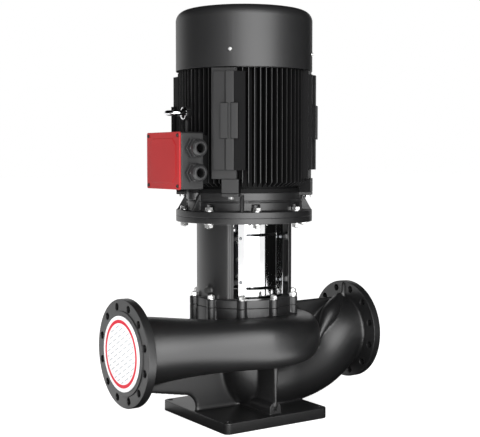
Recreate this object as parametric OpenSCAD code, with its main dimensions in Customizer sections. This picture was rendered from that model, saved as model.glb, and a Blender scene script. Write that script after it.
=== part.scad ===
// Vertical in-line centrifugal pump with a flange-mounted motor.
// Millimetres, +Z up, X along the pipe line, origin on the shaft axis at floor level.
// The discharge flange faces -X and the suction flange faces +X.

/* [Pipe connections] */
// Distance between the faces of the two pipe flanges
face_to_face = 910; // [890:2:940]
// Height of the pipe centre line above the floor
pipe_z = 250; // [246:1:262]
// Bore of both pipe connections
pipe_bore = 200; // [190:1:204]
// Wall of the cast pipe ends
pipe_wall = 12; // [10:0.5:14]
// Outer diameter of the pipe flanges
flange_od = 340; // [336:1:352]
// Thickness of the pipe flanges with their raised face
flange_t = 30; // [26:1:34]
// Bolt circle of the pipe flanges
flange_pcd = 295; // [292:0.5:298]
// Number of bolt holes in each pipe flange
flange_holes = 12; // [8:4:16]
// Diameter of the bolt holes in the discharge flange
flange_hole_d = 23; // [18:0.5:24]
// Extra width of the suction flange's bolt holes, which are drilled last and take up the misalignment
suction_hole_play = 0.4; // [0.4:0.1:1]
// Diameter of the raised sealing face
raised_face_d = 266; // [250:1:267]
// Height of the raised sealing face
raised_face_h = 3; // [2:0.5:4]
// Diameter of the transit cover on each pipe flange
transit_cover_d = 236; // [226:1:250]
// Thickness of the transit covers
transit_cover_t = 4; // [3:0.5:6]

/* [Base plate] */
// Side of the square base plate
base_side = 400; // [390:1:420]
// Thickness of the base plate
base_t = 35; // [30:0.5:36]
// Corner radius of the base plate
base_corner_r = 20; // [12:1:24]
// Spacing of the four holding-down bolts
base_bolt_spacing = 360; // [340:1:364]
// Diameter of the holding-down bolt holes
base_bolt_hole_d = 18; // [12:0.5:20]

/* [Pump casing] */
// Height of the volute centre above the pipe centre line
volute_rise = 22; // [18:1:24]
// Outer height of the volute passage
volute_height = 158; // [154:1:162]
// Outer radius of the volute at its tongue
tongue_r = 180; // [178:1:190]
// Growth of the volute radius in one full turn
volute_growth = 142; // [130:1:150]
// Wall of the volute and of the suction elbow
casing_wall = 11; // [9:0.5:12]
// Outer radius of the suction elbow below the impeller
elbow_r = 92; // [90:0.5:96]
// Outer radius of the suction elbow at its belly
elbow_belly_r = 108; // [100:1:110]
// Outer radius of the casing ring below the bracket
ring_r = 167; // [166:0.5:170]
// Height of the casing ring face above the pipe centre line
ring_rise = 127; // [126:1:132]
// Bolt circle of the studs that hold the bracket
stud_pcd = 340; // [336:1:344]
// Number of studs that hold the bracket
stud_count = 10; // [8:1:12]
// Diameter of those studs
stud_d = 12; // [10:0.5:14]
// Radius of the bosses around the studs
stud_boss_r = 15; // [13:0.5:17]
// Thickness of the support webs under and over the pipe
web_t = 14; // [12:1:18]

/* [Impeller] */
// Outer diameter of the impeller
impeller_d = 290; // [280:1:292]
// Width of the impeller passage at its rim
impeller_outlet_w = 38; // [32:1:42]
// Outer diameter of the impeller neck ring
impeller_neck_d = 186; // [180:0.5:187]
// Number of impeller vanes
vane_count = 6; // [5:1:7]
// Thickness of the impeller vanes
vane_t = 6; // [4:0.5:8]
// Thickness of the impeller shrouds
shroud_t = 5; // [4:0.5:6]
// Radial running gap between impeller neck and wear ring
neck_gap = 0.4; // [0.3:0.05:0.6]

/* [Shaft line] */
// Diameter of the pump shaft at the seal
pump_shaft_d = 45; // [42:0.5:48]
// Diameter of the motor shaft end in the coupling
motor_shaft_d = 60; // [56:1:62]
// Length of the motor shaft end below the mounting flange
motor_shaft_len = 140; // [130:1:146]
// Outer diameter of the shell coupling
coupling_d = 118; // [112:1:124]
// Length of the shell coupling
coupling_len = 170; // [160:1:176]
// Number of coupling screws on each side
coupling_screws_side = 3; // [2:1:4]

/* [Motor bracket] */
// Outer radius of the bracket pillars
bracket_r = 157; // [154:0.5:160]
// Inner radius of the bracket pillars
bracket_bore_r = 130; // [127:0.5:134]
// Half width of the two windows in the bracket
window_half_w = 111; // [106:1:116]
// Thickness of the bracket foot on the casing
bracket_foot_t = 27; // [24:1:30]
// Height of the bracket between its foot and its head
bracket_h = 245; // [238:1:260]
// Thickness of the bracket head below the motor
bracket_head_t = 18; // [16:1:22]
// Distance of the coupling guards from the shaft axis
guard_y = 97; // [94:1:100]
// Thickness of the guard sheet
guard_t = 1.5; // [1:0.1:2]

/* [Motor] */
// Outer diameter of the motor flange
motor_flange_d = 450; // [440:1:460]
// Thickness of the motor flange
motor_flange_t = 20; // [18:1:22]
// Bolt circle of the motor flange
motor_flange_pcd = 400; // [396:1:404]
// Number of motor flange bolts
motor_flange_bolts = 8; // [4:4:12]
// Diameter of the motor flange bolts
motor_bolt_d = 16; // [12:1:18]
// Diameter of the spigot that centres the motor
motor_spigot_d = 350; // [346:1:354]
// Height from the motor flange face to the finned frame
endshield_h = 79; // [76:1:84]
// Length of the motor frame
frame_len = 391; // [380:1:400]
// Outer radius of the frame barrel between the fins
barrel_r = 181; // [179:0.5:184]
// Wall of the frame barrel
barrel_wall = 8; // [7:0.5:10]
// Height of the cooling fins above the barrel
fin_rise = 34; // [32:0.5:36]
// Number of cooling fins round the frame
fin_count = 72; // [60:2:76]
// Thickness of a cooling fin
fin_t = 4.4; // [3.5:0.1:5.5]
// How far the fan cowl stands out beyond the fins
cowl_rise = 9; // [8:0.5:12]
// Height of the fan cowl
cowl_h = 195; // [188:1:204]
// Thickness of the cowl sheet
cowl_t = 2.5; // [2:0.1:3]
// Number of fan blades
fan_blades = 9; // [7:1:12]
// Outer radius of the stator core inside the frame
stator_bore_r = 113; // [110:0.5:116]
// Running gap between rotor and stator
air_gap = 0.6; // [0.5:0.1:1]

/* [Terminal box] */
// Width of the terminal box
box_w = 207; // [200:1:212]
// Height of the terminal box
box_h = 178; // [172:1:186]
// Depth of the terminal box body
box_depth = 78; // [74:1:82]
// Wall of the terminal box
box_wall = 6; // [5:0.5:8]
// Thickness of the terminal box cover
box_cover_t = 8; // [6:0.5:9]
// How far the terminal box reaches beyond the fins
box_stand = 94; // [90:1:98]
// Height of the lower edge of the box above the motor flange face
box_rise = 91; // [88:1:96]
// Vertical spacing of the two cable glands
gland_spacing = 76; // [70:1:80]
// Diameter of the threaded cable entries
gland_thread_d = 40; // [36:1:42]
// Width across the flats of the gland hexagons
gland_hex = 58; // [54:1:60]
// Bore of a gland for the cable
gland_bore_d = 29; // [24:1:30]

/* [Lifting eye] */
// Outer diameter of the ring of the lifting eye
eye_od = 72; // [68:1:76]
// Inner diameter of the ring of the lifting eye
eye_id = 40; // [38:1:42]
// Diameter of the shoulder of the lifting eye
eye_shoulder_d = 40; // [36:1:42]
// Height of the lifting eye above the motor flange face
eye_rise = 330; // [326:1:336]

/* [Hidden] */
$fn = 64;
eps = 0.5;
press_gap = 0.03;

// Colours
cast_paint = [0.17, 0.17, 0.18];
steel = [0.72, 0.73, 0.75];
stainless = [0.85, 0.86, 0.88];
bronze = [0.71, 0.52, 0.25];
rubber = [0.08, 0.08, 0.08];
cover_red = [0.66, 0.16, 0.16];
plastic_white = [0.93, 0.93, 0.93];
copper = [0.75, 0.4, 0.2];

// Heights of the stacked pieces
ring_z = pipe_z + ring_rise;
foot_z = ring_z + bracket_foot_t;
head_z = foot_z + bracket_h;
motor_z = head_z + bracket_head_t;
motor_flange_z = motor_z + motor_flange_t;
frame_z = motor_z + endshield_h;
frame_top = frame_z + frame_len;
cowl_top = frame_top + cowl_h;
fin_r = barrel_r + fin_rise;
cowl_r = fin_r + cowl_rise;
box_reach = fin_r + box_stand;

// Sweeps along a path
function bezier(p, t) = pow(1 - t, 3) * p[0] + 3 * t * pow(1 - t, 2) * p[1]
    + 3 * t * t * (1 - t) * p[2] + pow(t, 3) * p[3];
function slope(p, t) = let(d = pow(1 - t, 2) * (p[1] - p[0]) + 2 * t * (1 - t) * (p[2] - p[1])
    + t * t * (p[3] - p[2])) d / norm(d);
function blend(a, b, t) = a + (b - a) * (3 - 2 * t) * t * t;
function power(c, n) = sign(c) * pow(abs(c), 2 / n);
function ring_of(centre, side, up, a, b, n, sides) = [for (i = [0:sides - 1]) let(t = 360 * (i + 0.5) / sides)
    centre + side * a * power(cos(t), n) + up * b * power(sin(t), n)];
function ring_faces(j, k) = [for (i = [0:k - 1]) each [
    [j * k + i, (j + 1) * k + i, (j + 1) * k + (i + 1) % k],
    [j * k + i, (j + 1) * k + (i + 1) % k, j * k + (i + 1) % k]]];

module loft(rings) {
    k = len(rings[0]);
    last = (len(rings) - 1) * k;
    polyhedron(points = [for (r = rings) each r], convexity = 8,
        faces = concat([[for (i = [0:k - 1]) i]], [[for (i = [k - 1:-1:0]) last + i]],
            [for (j = [0:len(rings) - 2]) each ring_faces(j, k)]));
}

module ring(r_out, r_in, z0, z1) {
    translate([0, 0, z0]) difference() {
        cylinder(r = r_out, h = z1 - z0);
        translate([0, 0, -eps]) cylinder(r = r_in, h = z1 - z0 + 2 * eps);
    }
}

module around(count, radius, start = 0) {
    for (i = [0:count - 1]) rotate(start + i * 360 / count) translate([radius, 0, 0]) children();
}

module rounded_square(w, h, r) {
    union() {
        square([w - 2 * r, h], center = true);
        square([w, h - 2 * r], center = true);
        for (x = [-1, 1], y = [-1, 1]) translate([x * (w / 2 - r), y * (h / 2 - r)]) circle(r);
    }
}

module along_x(x0, x1) {
    translate([x0, 0, 0]) rotate([90, 0, 90]) linear_extrude(x1 - x0) children();
}

module along_y(y0, y1) {
    translate([0, y1, 0]) rotate([90, 0, 0]) linear_extrude(y1 - y0) children();
}

// Pump casing
drain_z = base_t + 17;
drain_d = 14;
pipe_r = pipe_bore / 2 + pipe_wall;
half_length = face_to_face / 2;
volute_z = pipe_z + volute_rise;
volute_b = volute_height / 2;
tongue_angle = 150;
tongue_half_h = 54;
tongue_wall_angle = 5;
stud_start = 18;
throat_r = elbow_r - casing_wall + 0.4;
cover_seat = 25;
seat_z = ring_z - cover_seat;
volute_end_angle = -104;
volute_steps = 16;
pipe_steps = 9;
loft_sides = 24;
core_r = 153;
shoulder_r = 150;
cover_r = 158;
neck_seat_r = impeller_neck_d / 2 + neck_gap + 8;
neck_z0 = pipe_z - 36;
neck_z1 = neck_z0 + 20;
chamber_front = pipe_z - 12;
flange_back = half_length - flange_t;

function volute_outer(angle) = tongue_r + volute_growth * (tongue_angle - angle) / 360;
function volute_a(angle) = blend(40, 73, (tongue_angle - angle) / (tongue_angle - volute_end_angle));
function volute_half_h(angle) = blend(tongue_half_h, volute_b, (tongue_angle - angle) / (tongue_angle - volute_end_angle));
function volute_ring(angle, wall) = let(a = volute_a(angle), r = volute_outer(angle) - a)
    ring_of([r * cos(angle), r * sin(angle), volute_z], [cos(angle), sin(angle), 0], [0, 0, 1],
        a - wall, volute_half_h(angle) - wall, 2.5, loft_sides);
end_r = volute_outer(volute_end_angle) - volute_a(volute_end_angle);
discharge_path = let(c = cos(volute_end_angle), s = sin(volute_end_angle))
    [[end_r * c, end_r * s, volute_z], [end_r * c + 130 * s, end_r * s - 130 * c, volute_z],
    [20 - flange_back + 115, 0, pipe_z], [-flange_back - 5, 0, pipe_z]];
function discharge_ring(t, wall, stretch) = let(d = slope(discharge_path, t), flat = [d[0], d[1], 0] / norm([d[0], d[1]]),
    end_bore = wall > 0 ? pipe_bore / 2 - 0.5 : pipe_r)
    ring_of(bezier(discharge_path, t) + [-stretch * t, 0, 0], [-flat[1], flat[0], 0], [0, 0, 1],
        blend(volute_a(volute_end_angle) - wall, end_bore, t), blend(volute_b - wall, end_bore, pow(t, 1.5)),
        blend(2.5, 2, t), loft_sides);
function volute_rings(wall, stretch) = let(start = tongue_angle - (wall > 0 ? tongue_wall_angle : 0)) concat(
    [for (i = [0:volute_steps]) volute_ring(start + (volute_end_angle - start) * i / volute_steps, wall)],
    [for (i = [1:pipe_steps]) discharge_ring(i / pipe_steps, wall, stretch)]);

elbow_low_z = base_t + elbow_r - 4;
throat_low_z = base_t + elbow_r - 23;
elbow_knee_x = 150;
elbow_paths = [
    [[flange_back + 5, 0, pipe_z], [flange_back - 95, 0, pipe_z], [flange_back - 38, 0, elbow_low_z + 22],
        [elbow_knee_x, 0, elbow_low_z]],
    [[elbow_knee_x, 0, elbow_low_z], [62, 0, elbow_low_z - 24], [0, 0, elbow_low_z - 20], [0, 0, neck_z0 - 15]]];
throat_paths = [
    [[flange_back + 12, 0, pipe_z], [flange_back - 100, 0, pipe_z], [flange_back - 150, 0, throat_low_z + 12],
        [elbow_knee_x, 0, throat_low_z]],
    [[elbow_knee_x, 0, throat_low_z], [70, 0, throat_low_z - 6], [0, 0, throat_low_z], [0, 0, neck_z0 - 8]]];
elbow_steps = [8, 7];
function elbow_ring(p, t, r) = let(d = slope(p, t))
    ring_of(bezier(p, t), [0, -1, 0], [d[2], 0, -d[0]], r, r, 2, loft_sides);
function elbow_rings(paths, r_start, r_knee, r_end) = concat(
    [for (i = [0:elbow_steps[0]]) elbow_ring(paths[0], i / elbow_steps[0], blend(r_start, r_knee, i / elbow_steps[0]))],
    [for (i = [1:elbow_steps[1]]) elbow_ring(paths[1], i / elbow_steps[1], blend(r_knee, r_end, i / elbow_steps[1]))]);

module pipe_flange(hole_d) {
    difference() {
        union() {
            rotate([0, 90, 0]) translate([0, 0, flange_back])
                cylinder(d = flange_od, h = flange_t - raised_face_h);
            rotate([0, 90, 0]) translate([0, 0, flange_back])
                cylinder(d = raised_face_d, h = flange_t);
            rotate([0, 90, 0]) translate([0, 0, flange_back - 9])
                cylinder(r1 = pipe_r + 2, r2 = pipe_r + 9, h = 9.5);
        }
        rotate([0, 90, 0]) around(flange_holes, flange_pcd / 2, 180 / flange_holes)
            translate([0, 0, flange_back - eps]) cylinder(d = hole_d, h = flange_t + 2 * eps);
    }
}

module casing_webs() {
    along_y(-web_t / 2, web_t / 2) union() {
        difference() {
            polygon([[-flange_back - 5, 127], [-235, 92], [-235, base_t - 5], [0, base_t - 5],
                [0, volute_z - volute_b + 12], [-240, volute_z - volute_b + 12], [-flange_back - 5, pipe_z]]);
            translate([-235, 47]) circle(45);
            translate([-240, 0]) square([50, 47]);
        }
    }
    along_y(-web_t / 2, web_t / 2)
        polygon([[ring_r - 12, ring_z - 50], [ring_r - 12, ring_z - 12], [flange_back - 12, ring_z - 8],
            [flange_back - 8, ring_z + 36], [flange_back + 3, ring_z + 38], [flange_back + 3, pipe_z],
            [volute_outer(0) - 20, volute_z + 20]]);
    along_y(-187, -40)
        polygon([[-5, base_t + 20], [5, base_t + 20], [11, volute_z - volute_b + 15], [-9, volute_z - volute_b + 15]]);
    along_y(-182, -20) union() {
        translate([0, base_t + 17]) circle(22);
        translate([-22, base_t - 5]) square([44, 22]);
    }
}

module casing_body() {
    union() {
        loft(volute_rings(0, 0));
        loft(elbow_rings(elbow_paths, pipe_r, elbow_belly_r, elbow_r));
    }
    union() {
        linear_extrude(base_t) rounded_square(base_side, base_side, base_corner_r);
        translate([0, 0, volute_z - tongue_half_h + 4]) cylinder(r = core_r + 4, h = tongue_half_h + 26);
        translate([0, 0, volute_z + 20]) linear_extrude(ring_z - volute_z - 20) union() {
            circle(ring_r);
            around(stud_count, stud_pcd / 2, stud_start) circle(stud_boss_r);
        }
        translate([0, 0, pipe_z]) pipe_flange(flange_hole_d + suction_hole_play);
        translate([0, 0, pipe_z]) mirror([1, 0, 0]) pipe_flange(flange_hole_d);
        casing_webs();
    }
}

module water_passage() {
    union() {
        loft(volute_rings(casing_wall, 8));
        loft(elbow_rings(throat_paths, pipe_bore / 2 - 0.5, elbow_r - casing_wall - 1, elbow_r - casing_wall));
        union() {
            rotate_extrude() polygon([[0, neck_z0 - 20], [throat_r, neck_z0 - 20], [throat_r, neck_z0],
                [neck_seat_r, neck_z0], [neck_seat_r, chamber_front], [core_r - 35, chamber_front], [core_r, chamber_front + 4],
                [core_r, seat_z - 2], [shoulder_r, seat_z - 2], [shoulder_r, seat_z], [cover_r + 0.2, seat_z],
                [cover_r + 0.2, ring_z + 1], [0, ring_z + 1]]);
            for (a = [-90, 90]) translate([0, 0, pipe_z]) rotate([0, a, 0]) translate([0, 0, flange_back + 2])
                cylinder(d = pipe_bore, h = flange_t);
        }
    }
}

module pump_casing() {
    color(cast_paint) difference() {
        union() casing_body();
        water_passage();
        around(stud_count, stud_pcd / 2, stud_start) translate([0, 0, ring_z - 26]) cylinder(d = stud_d + 0.1, h = 27);
        for (x = [-1, 1], y = [-1, 1]) translate([x * base_bolt_spacing / 2, y * base_bolt_spacing / 2, -1])
            cylinder(d = base_bolt_hole_d, h = base_t + 2);
        translate([0, -183, drain_z]) rotate([-90, 0, 0]) cylinder(d = drain_d + 0.1, h = 16);
    }
}

// Wear ring in the casing round the impeller neck
module casing_wear_ring() {
    color(bronze) ring(neck_seat_r - press_gap, impeller_neck_d / 2 + neck_gap, neck_z0, neck_z1);
}

module drain_plug() {
    color(steel) translate([0, -182, drain_z]) rotate([-90, 0, 0]) difference() {
        cylinder(d = drain_d, h = 14);
        translate([0, 0, -eps]) cylinder(r = 3.5, h = 6, $fn = 6);
    }
}

// Casing cover with the seal chamber in its hub
gasket_t = 1;
cover_low = seat_z - 50;
seal_r = pump_shaft_d / 2 + 21.5;
seal_top = seat_z - 2;
seat_ring_z = seal_top - 12;
shaft_gap_r = pump_shaft_d / 2 + 3.5;

module casing_gasket() {
    color(rubber) ring(cover_r, shoulder_r + 0.5, seat_z, seat_z + gasket_t);
}

module casing_cover() {
    lip_r = shoulder_r - 0.5;
    color(cast_paint) rotate_extrude() polygon([[seal_r, cover_low], [lip_r - 2, cover_low], [lip_r, cover_low + 2],
        [lip_r, seat_z + gasket_t], [cover_r, seat_z + gasket_t], [cover_r, ring_z], [lip_r - 12, ring_z],
        [lip_r - 16, cover_low + 16], [seal_r + 24, cover_low + 16], [seal_r + 16, cover_low + 24],
        [seal_r + 16, seal_top + 20], [shaft_gap_r, seal_top + 20], [shaft_gap_r, seal_top], [seal_r, seal_top]]);
}

// Mechanical seal: a fixed seat in the cover, and a sprung head that turns with the shaft
head_z1 = seat_ring_z - 0.1;
head_z0 = head_z1 - 12;
collar_z1 = cover_low + 7;
shaft_fit = 0.02;
spring_wire_r = 1.6;
spring_turns = 3;
spring_rings = 14;
spring_sides = 8;

module seal_seat() {
    color(rubber) ring(seal_r - press_gap, shaft_gap_r, seat_ring_z, seal_top);
}

module seal_head() {
    color(stainless) ring(pump_shaft_d / 2 + 13, pump_shaft_d / 2 + shaft_fit, head_z0, head_z1 - 3);
    color(steel) ring(pump_shaft_d / 2 + 11, pump_shaft_d / 2 + shaft_fit, head_z1 - 3, head_z1);
}

module seal_spring() {
    coil_r = pump_shaft_d / 2 + 8;
    z0 = collar_z1 + spring_wire_r + 0.1;
    z1 = head_z0 - spring_wire_r - 0.1;
    steps = spring_turns * spring_rings;
    color(stainless) loft([for (i = [steps:-1:0]) let(a = 360 * i / spring_rings)
        ring_of([coil_r * cos(a), coil_r * sin(a), z0 + (z1 - z0) * i / steps], [cos(a), sin(a), 0], [0, 0, 1],
            spring_wire_r, spring_wire_r, 2, spring_sides)]);
}

module seal_collar() {
    color(stainless) ring(pump_shaft_d / 2 + 12, pump_shaft_d / 2 + shaft_fit, cover_low, collar_z1);
}

// Impeller with curved vanes between two shrouds, turning clockwise seen from the motor
rim_r = impeller_d / 2;
imp_z = volute_z - 2;
rim_z0 = imp_z - impeller_outlet_w / 2;
rim_z1 = imp_z + impeller_outlet_w / 2;
neck_r = impeller_neck_d / 2;
eye_r = neck_r - shroud_t;
hub_r = pump_shaft_d / 2 + 12;
hub_bore_r = pump_shaft_d / 2 - 3.5;
hub_z0 = rim_z0 + 12;
vane_arc_r = 0.607 * rim_r;
vane_centre = 0.428 * rim_r;
key_w = 12;
key_r = hub_bore_r + 3.3;

function front_inside() = [[eye_r, neck_z0 + 3], [eye_r, rim_z0 - 14], [eye_r + 3, rim_z0 - 6],
    [eye_r + 9, rim_z0 - 1.5], [eye_r + 18, rim_z0], [rim_r, rim_z0]];
function back_inside() = [[rim_r, rim_z1], [hub_r + 42, rim_z1], [hub_r + 22, rim_z1 - 4],
    [hub_r + 8, rim_z1 - 12], [hub_r, hub_z0]];

module shroud_profiles() {
    polygon(concat(front_inside(), [[rim_r, rim_z0 - shroud_t], [neck_r + 8, rim_z0 - shroud_t - 4],
        [neck_r, rim_z0 - shroud_t - 6], [neck_r, neck_z0 + 3]]));
    polygon(concat(back_inside(), [[hub_bore_r, hub_z0], [hub_bore_r, cover_low], [hub_r, cover_low],
        [hub_r, rim_z1 + shroud_t], [rim_r, rim_z1 + shroud_t]]));
}

module vane_outline() {
    intersection() {
        translate([vane_centre, 0]) difference() {
            circle(vane_arc_r + vane_t / 2);
            circle(vane_arc_r - vane_t / 2);
        }
        difference() {
            circle(rim_r - 0.5);
            circle(hub_r + 24);
        }
        translate([-rim_r, -2 * rim_r]) square([2 * rim_r, 2 * rim_r]);
    }
}

module impeller() {
    color(bronze) difference() {
        union() {
            rotate_extrude() shroud_profiles();
            intersection() {
                translate([0, 0, rim_z0 - 12]) linear_extrude(impeller_outlet_w + 14) around(vane_count, 0) vane_outline();
                rotate_extrude() polygon(concat([[eye_r + 1, rim_z0 - 13], [eye_r + 4, rim_z0 - 7],
                    [eye_r + 10, rim_z0 - 2.5], [eye_r + 18, rim_z0 - 1], [rim_r, rim_z0 - 1], [rim_r, rim_z1 + 1],
                    [hub_r + 42, rim_z1 + 1], [hub_r + 20, rim_z1 - 3], [hub_r + 10, rim_z0 + 8]]));
            }
        }
        translate([0, -key_w / 2 - 0.02, hub_z0 - eps]) cube([key_r + 0.05, key_w + 0.04, cover_low - hub_z0 + 2 * eps]);
    }
}

module impeller_key() {
    color(steel) translate([hub_bore_r - 5, -key_w / 2, hub_z0 + 2]) cube([key_r - hub_bore_r + 5, key_w, cover_low - hub_z0 - 4]);
}

nut_thread_r = 12;
nut_h = 16;

module impeller_nut() {
    color(stainless) difference() {
        union() {
            translate([0, 0, hub_z0 - nut_h]) cylinder(r = 26, h = nut_h, $fn = 6);
            translate([0, 0, hub_z0 - nut_h - 10]) cylinder(r1 = 14, r2 = 22, h = 10);
        }
        translate([0, 0, hub_z0 - nut_h - 3]) cylinder(r = nut_thread_r + shaft_fit, h = nut_h + 4);
    }
}

// Shaft line
motor_shaft_z0 = motor_z - motor_shaft_len;
pump_shaft_top = motor_shaft_z0 - 6;
coupling_z0 = motor_shaft_z0 - 3 - coupling_len / 2;
coupling_gap = 2;

module pump_shaft() {
    color(stainless) difference() {
        union() {
            translate([0, 0, hub_z0 - nut_h - 1]) cylinder(r = nut_thread_r, h = nut_h + 2);
            translate([0, 0, hub_z0]) cylinder(r = hub_bore_r - shaft_fit, h = cover_low - hub_z0 + 1);
            translate([0, 0, cover_low]) cylinder(d = pump_shaft_d, h = pump_shaft_top - cover_low);
        }
        translate([hub_bore_r - 5.05, -key_w / 2 - 0.02, hub_z0 + 1.9])
            cube([10, key_w + 0.04, cover_low - hub_z0 - 3.8]);
    }
}

module coupling_shell() {
    z_mid = pump_shaft_top + 3;
    difference() {
        intersection() {
            union() {
                translate([0, 0, coupling_z0]) cylinder(d = coupling_d, h = coupling_len);
                for (x = [-1, 1], i = [0:coupling_screws_side - 1])
                    translate([x * coupling_screw_x, -14, coupling_screw_z(i)]) rotate([-90, 0, 0]) cylinder(r = 11, h = 14);
            }
            translate([-coupling_d, -coupling_d, coupling_z0]) cube([2 * coupling_d, coupling_d - coupling_gap / 2, coupling_len]);
        }
        translate([0, 0, coupling_z0 - eps]) cylinder(r = pump_shaft_d / 2 + shaft_fit, h = z_mid - coupling_z0);
        translate([0, 0, z_mid - 1]) cylinder(r = motor_shaft_d / 2 + shaft_fit, h = coupling_len);
        for (x = [-1, 1], i = [0:coupling_screws_side - 1]) translate([x * coupling_screw_x, 0, coupling_screw_z(i)])
            rotate([90, 0, 0]) {
                translate([0, 0, -eps]) cylinder(r = 5.5, h = coupling_d);
                translate([0, 0, 15]) cylinder(r = 9.5, h = coupling_d);
            }
    }
}

coupling_screw_x = motor_shaft_d / 2 + 12;
function coupling_screw_z(i) = coupling_z0 + coupling_len * (i + 0.5) / coupling_screws_side;

module coupling_shell_front() {
    color(steel) coupling_shell();
}

module coupling_shell_rear() {
    color(steel) rotate(180) coupling_shell();
}

module coupling_screws() {
    color(steel) for (x = [-1, 1], i = [0:coupling_screws_side - 1])
        translate([x * coupling_screw_x, 0, coupling_screw_z(i)]) rotate([90, 0, 0]) {
            translate([0, 0, -26]) cylinder(r = 5, h = 42);
            translate([0, 0, 15]) difference() {
                cylinder(r = 8, h = 10);
                translate([0, 0, 5]) cylinder(r = 4.6, h = 6, $fn = 6);
            }
            translate([0, 0, -23]) cylinder(r = 9.2, h = 8, $fn = 6);
        }
}

// Bracket between casing and motor, with two windows for the coupling
stud_hole_d = stud_d + 1.5;
spigot_depth = 5;
lug_y = guard_y - 0.2;
guard_half_w = 86;
guard_panel_w = 64;
guard_screw_x = 79;
guard_screw_d = 6;
guard_z0 = foot_z + 4;
guard_z1 = head_z - 4;
guard_screw_z = [foot_z + 53, head_z - 51];
vent_angle = 191;
vent_z = foot_z + 26;

module motor_bracket() {
    color(cast_paint) difference() {
        union() {
            ring(ring_r, bracket_bore_r, ring_z, foot_z);
            intersection() {
                around(stud_count, stud_pcd / 2, stud_start) translate([0, 0, ring_z]) cylinder(r = stud_boss_r, h = bracket_foot_t);
                ring(ring_r + 40, bracket_bore_r, ring_z, foot_z);
            }
            difference() {
                ring(bracket_r, bracket_bore_r, foot_z - 1, head_z + 1);
                translate([-window_half_w, -200, foot_z]) cube([2 * window_half_w, 400, bracket_h]);
            }
            ring(motor_flange_d / 2, bracket_bore_r, head_z, motor_z);
            for (x = [-1, 1], y = [-1, 1], z = guard_screw_z)
                translate([x > 0 ? guard_screw_x - 9 : -window_half_w - 4, y > 0 ? lug_y - 16 : -lug_y, z - 9])
                    cube([window_half_w - guard_screw_x + 13, 16, 18]);
            rotate(vent_angle) translate([bracket_bore_r + 6, 0, vent_z]) rotate([0, 90, 0])
                cylinder(r = 13, h = bracket_r - bracket_bore_r);
        }
        around(stud_count, stud_pcd / 2, stud_start) translate([0, 0, ring_z - 1]) cylinder(d = stud_hole_d, h = bracket_foot_t + 2);
        around(motor_flange_bolts, motor_flange_pcd / 2, 180 / motor_flange_bolts)
            translate([0, 0, head_z - 1]) cylinder(d = motor_bolt_d + 1.5, h = bracket_head_t + 2);
        translate([0, 0, motor_z - spigot_depth]) cylinder(d = motor_spigot_d + 0.2, h = spigot_depth + 1);
        for (x = [-1, 1], z = guard_screw_z) translate([x * guard_screw_x, -lug_y - 1, z]) rotate([-90, 0, 0])
            cylinder(d = guard_screw_d + 0.05, h = 13);
        for (x = [-1, 1], z = guard_screw_z) translate([x * guard_screw_x, lug_y + 1, z]) rotate([90, 0, 0])
            cylinder(d = guard_screw_d + 0.05, h = 13);
        rotate(vent_angle) translate([bracket_bore_r - 1, 0, vent_z]) rotate([0, 90, 0]) cylinder(r = 7.5, h = 60);
    }
}

module vent_plug() {
    color(rubber) rotate(vent_angle) translate([bracket_r + 6, 0, vent_z]) rotate([0, 90, 0]) {
        translate([0, 0, -22]) cylinder(r = 7.45, h = 22);
        cylinder(r = 11, h = 2.5);
        translate([0, 0, 2]) cylinder(r = 9.5, h = 7.5, $fn = 6);
    }
}

nut_af = stud_d * 1.5 + 1;

module washer_nut(af, washer_r, bore_d, washer_h, h) {
    difference() {
        union() {
            cylinder(r = washer_r, h = washer_h);
            cylinder(d = af / cos(30), h = washer_h + h, $fn = 6);
        }
        translate([0, 0, -eps]) cylinder(d = bore_d, h = washer_h + h + 2 * eps);
    }
}

module bracket_studs() {
    color(steel) around(stud_count, stud_pcd / 2, stud_start) translate([0, 0, ring_z - 24])
        cylinder(d = stud_d, h = bracket_foot_t + 24 + stud_d * 0.9 + 5);
}

module bracket_nuts() {
    color(steel) around(stud_count, stud_pcd / 2, stud_start) translate([0, 0, foot_z]) rotate(15)
        washer_nut(nut_af, nut_af / 2 + 2, stud_d + 0.1, 2, stud_d * 0.9);
}

// Coupling guards of folded sheet, screwed to lugs on the bracket
guard_arc_r = 112;
guard_arc_y = guard_y + 2 - sqrt(guard_arc_r * guard_arc_r - guard_panel_w * guard_panel_w);
guard_steps = 20;
slot_h = 9;

function guard_arc(r, w) = let(half = asin(w / r)) [for (i = [0:guard_steps]) let(a = -half + 2 * half * i / guard_steps)
    [r * sin(a), -guard_arc_y - r * cos(a)]];
function reversed(p) = [for (i = [len(p) - 1:-1:0]) p[i]];

module guard_outline() {
    inner_w = guard_panel_w - guard_t;
    edge = guard_half_w + guard_t;
    polygon(concat([[-edge, -guard_y], [-edge, -guard_y - guard_t], [-guard_panel_w, -guard_y - guard_t]],
        guard_arc(guard_arc_r, guard_panel_w), [[guard_panel_w, -guard_y - guard_t], [edge, -guard_y - guard_t],
        [edge, -guard_y], [inner_w, -guard_y]], reversed(guard_arc(guard_arc_r - guard_t, inner_w)), [[-inner_w, -guard_y]]));
}

module guard() {
    difference() {
        translate([0, 0, guard_z0]) linear_extrude(guard_z1 - guard_z0) guard_outline();
        for (z = [guard_z0 + 28, guard_z1 - 37]) along_y(-200, -guard_y - guard_t - 2) translate([0, z]) {
            square([2 * guard_panel_w - 16, slot_h], center = true);
            for (x = [-1, 1]) translate([x * (guard_panel_w - 8), 0]) circle(slot_h / 2);
        }
        for (x = [-1, 1], z = guard_screw_z) translate([x * guard_screw_x, -guard_y + 3, z]) rotate([90, 0, 0])
            cylinder(d = guard_screw_d + 0.6, h = 10);
    }
}

module guard_front() {
    color(stainless) guard();
}

module guard_rear() {
    color(stainless) mirror([0, 1, 0]) guard();
}

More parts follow.
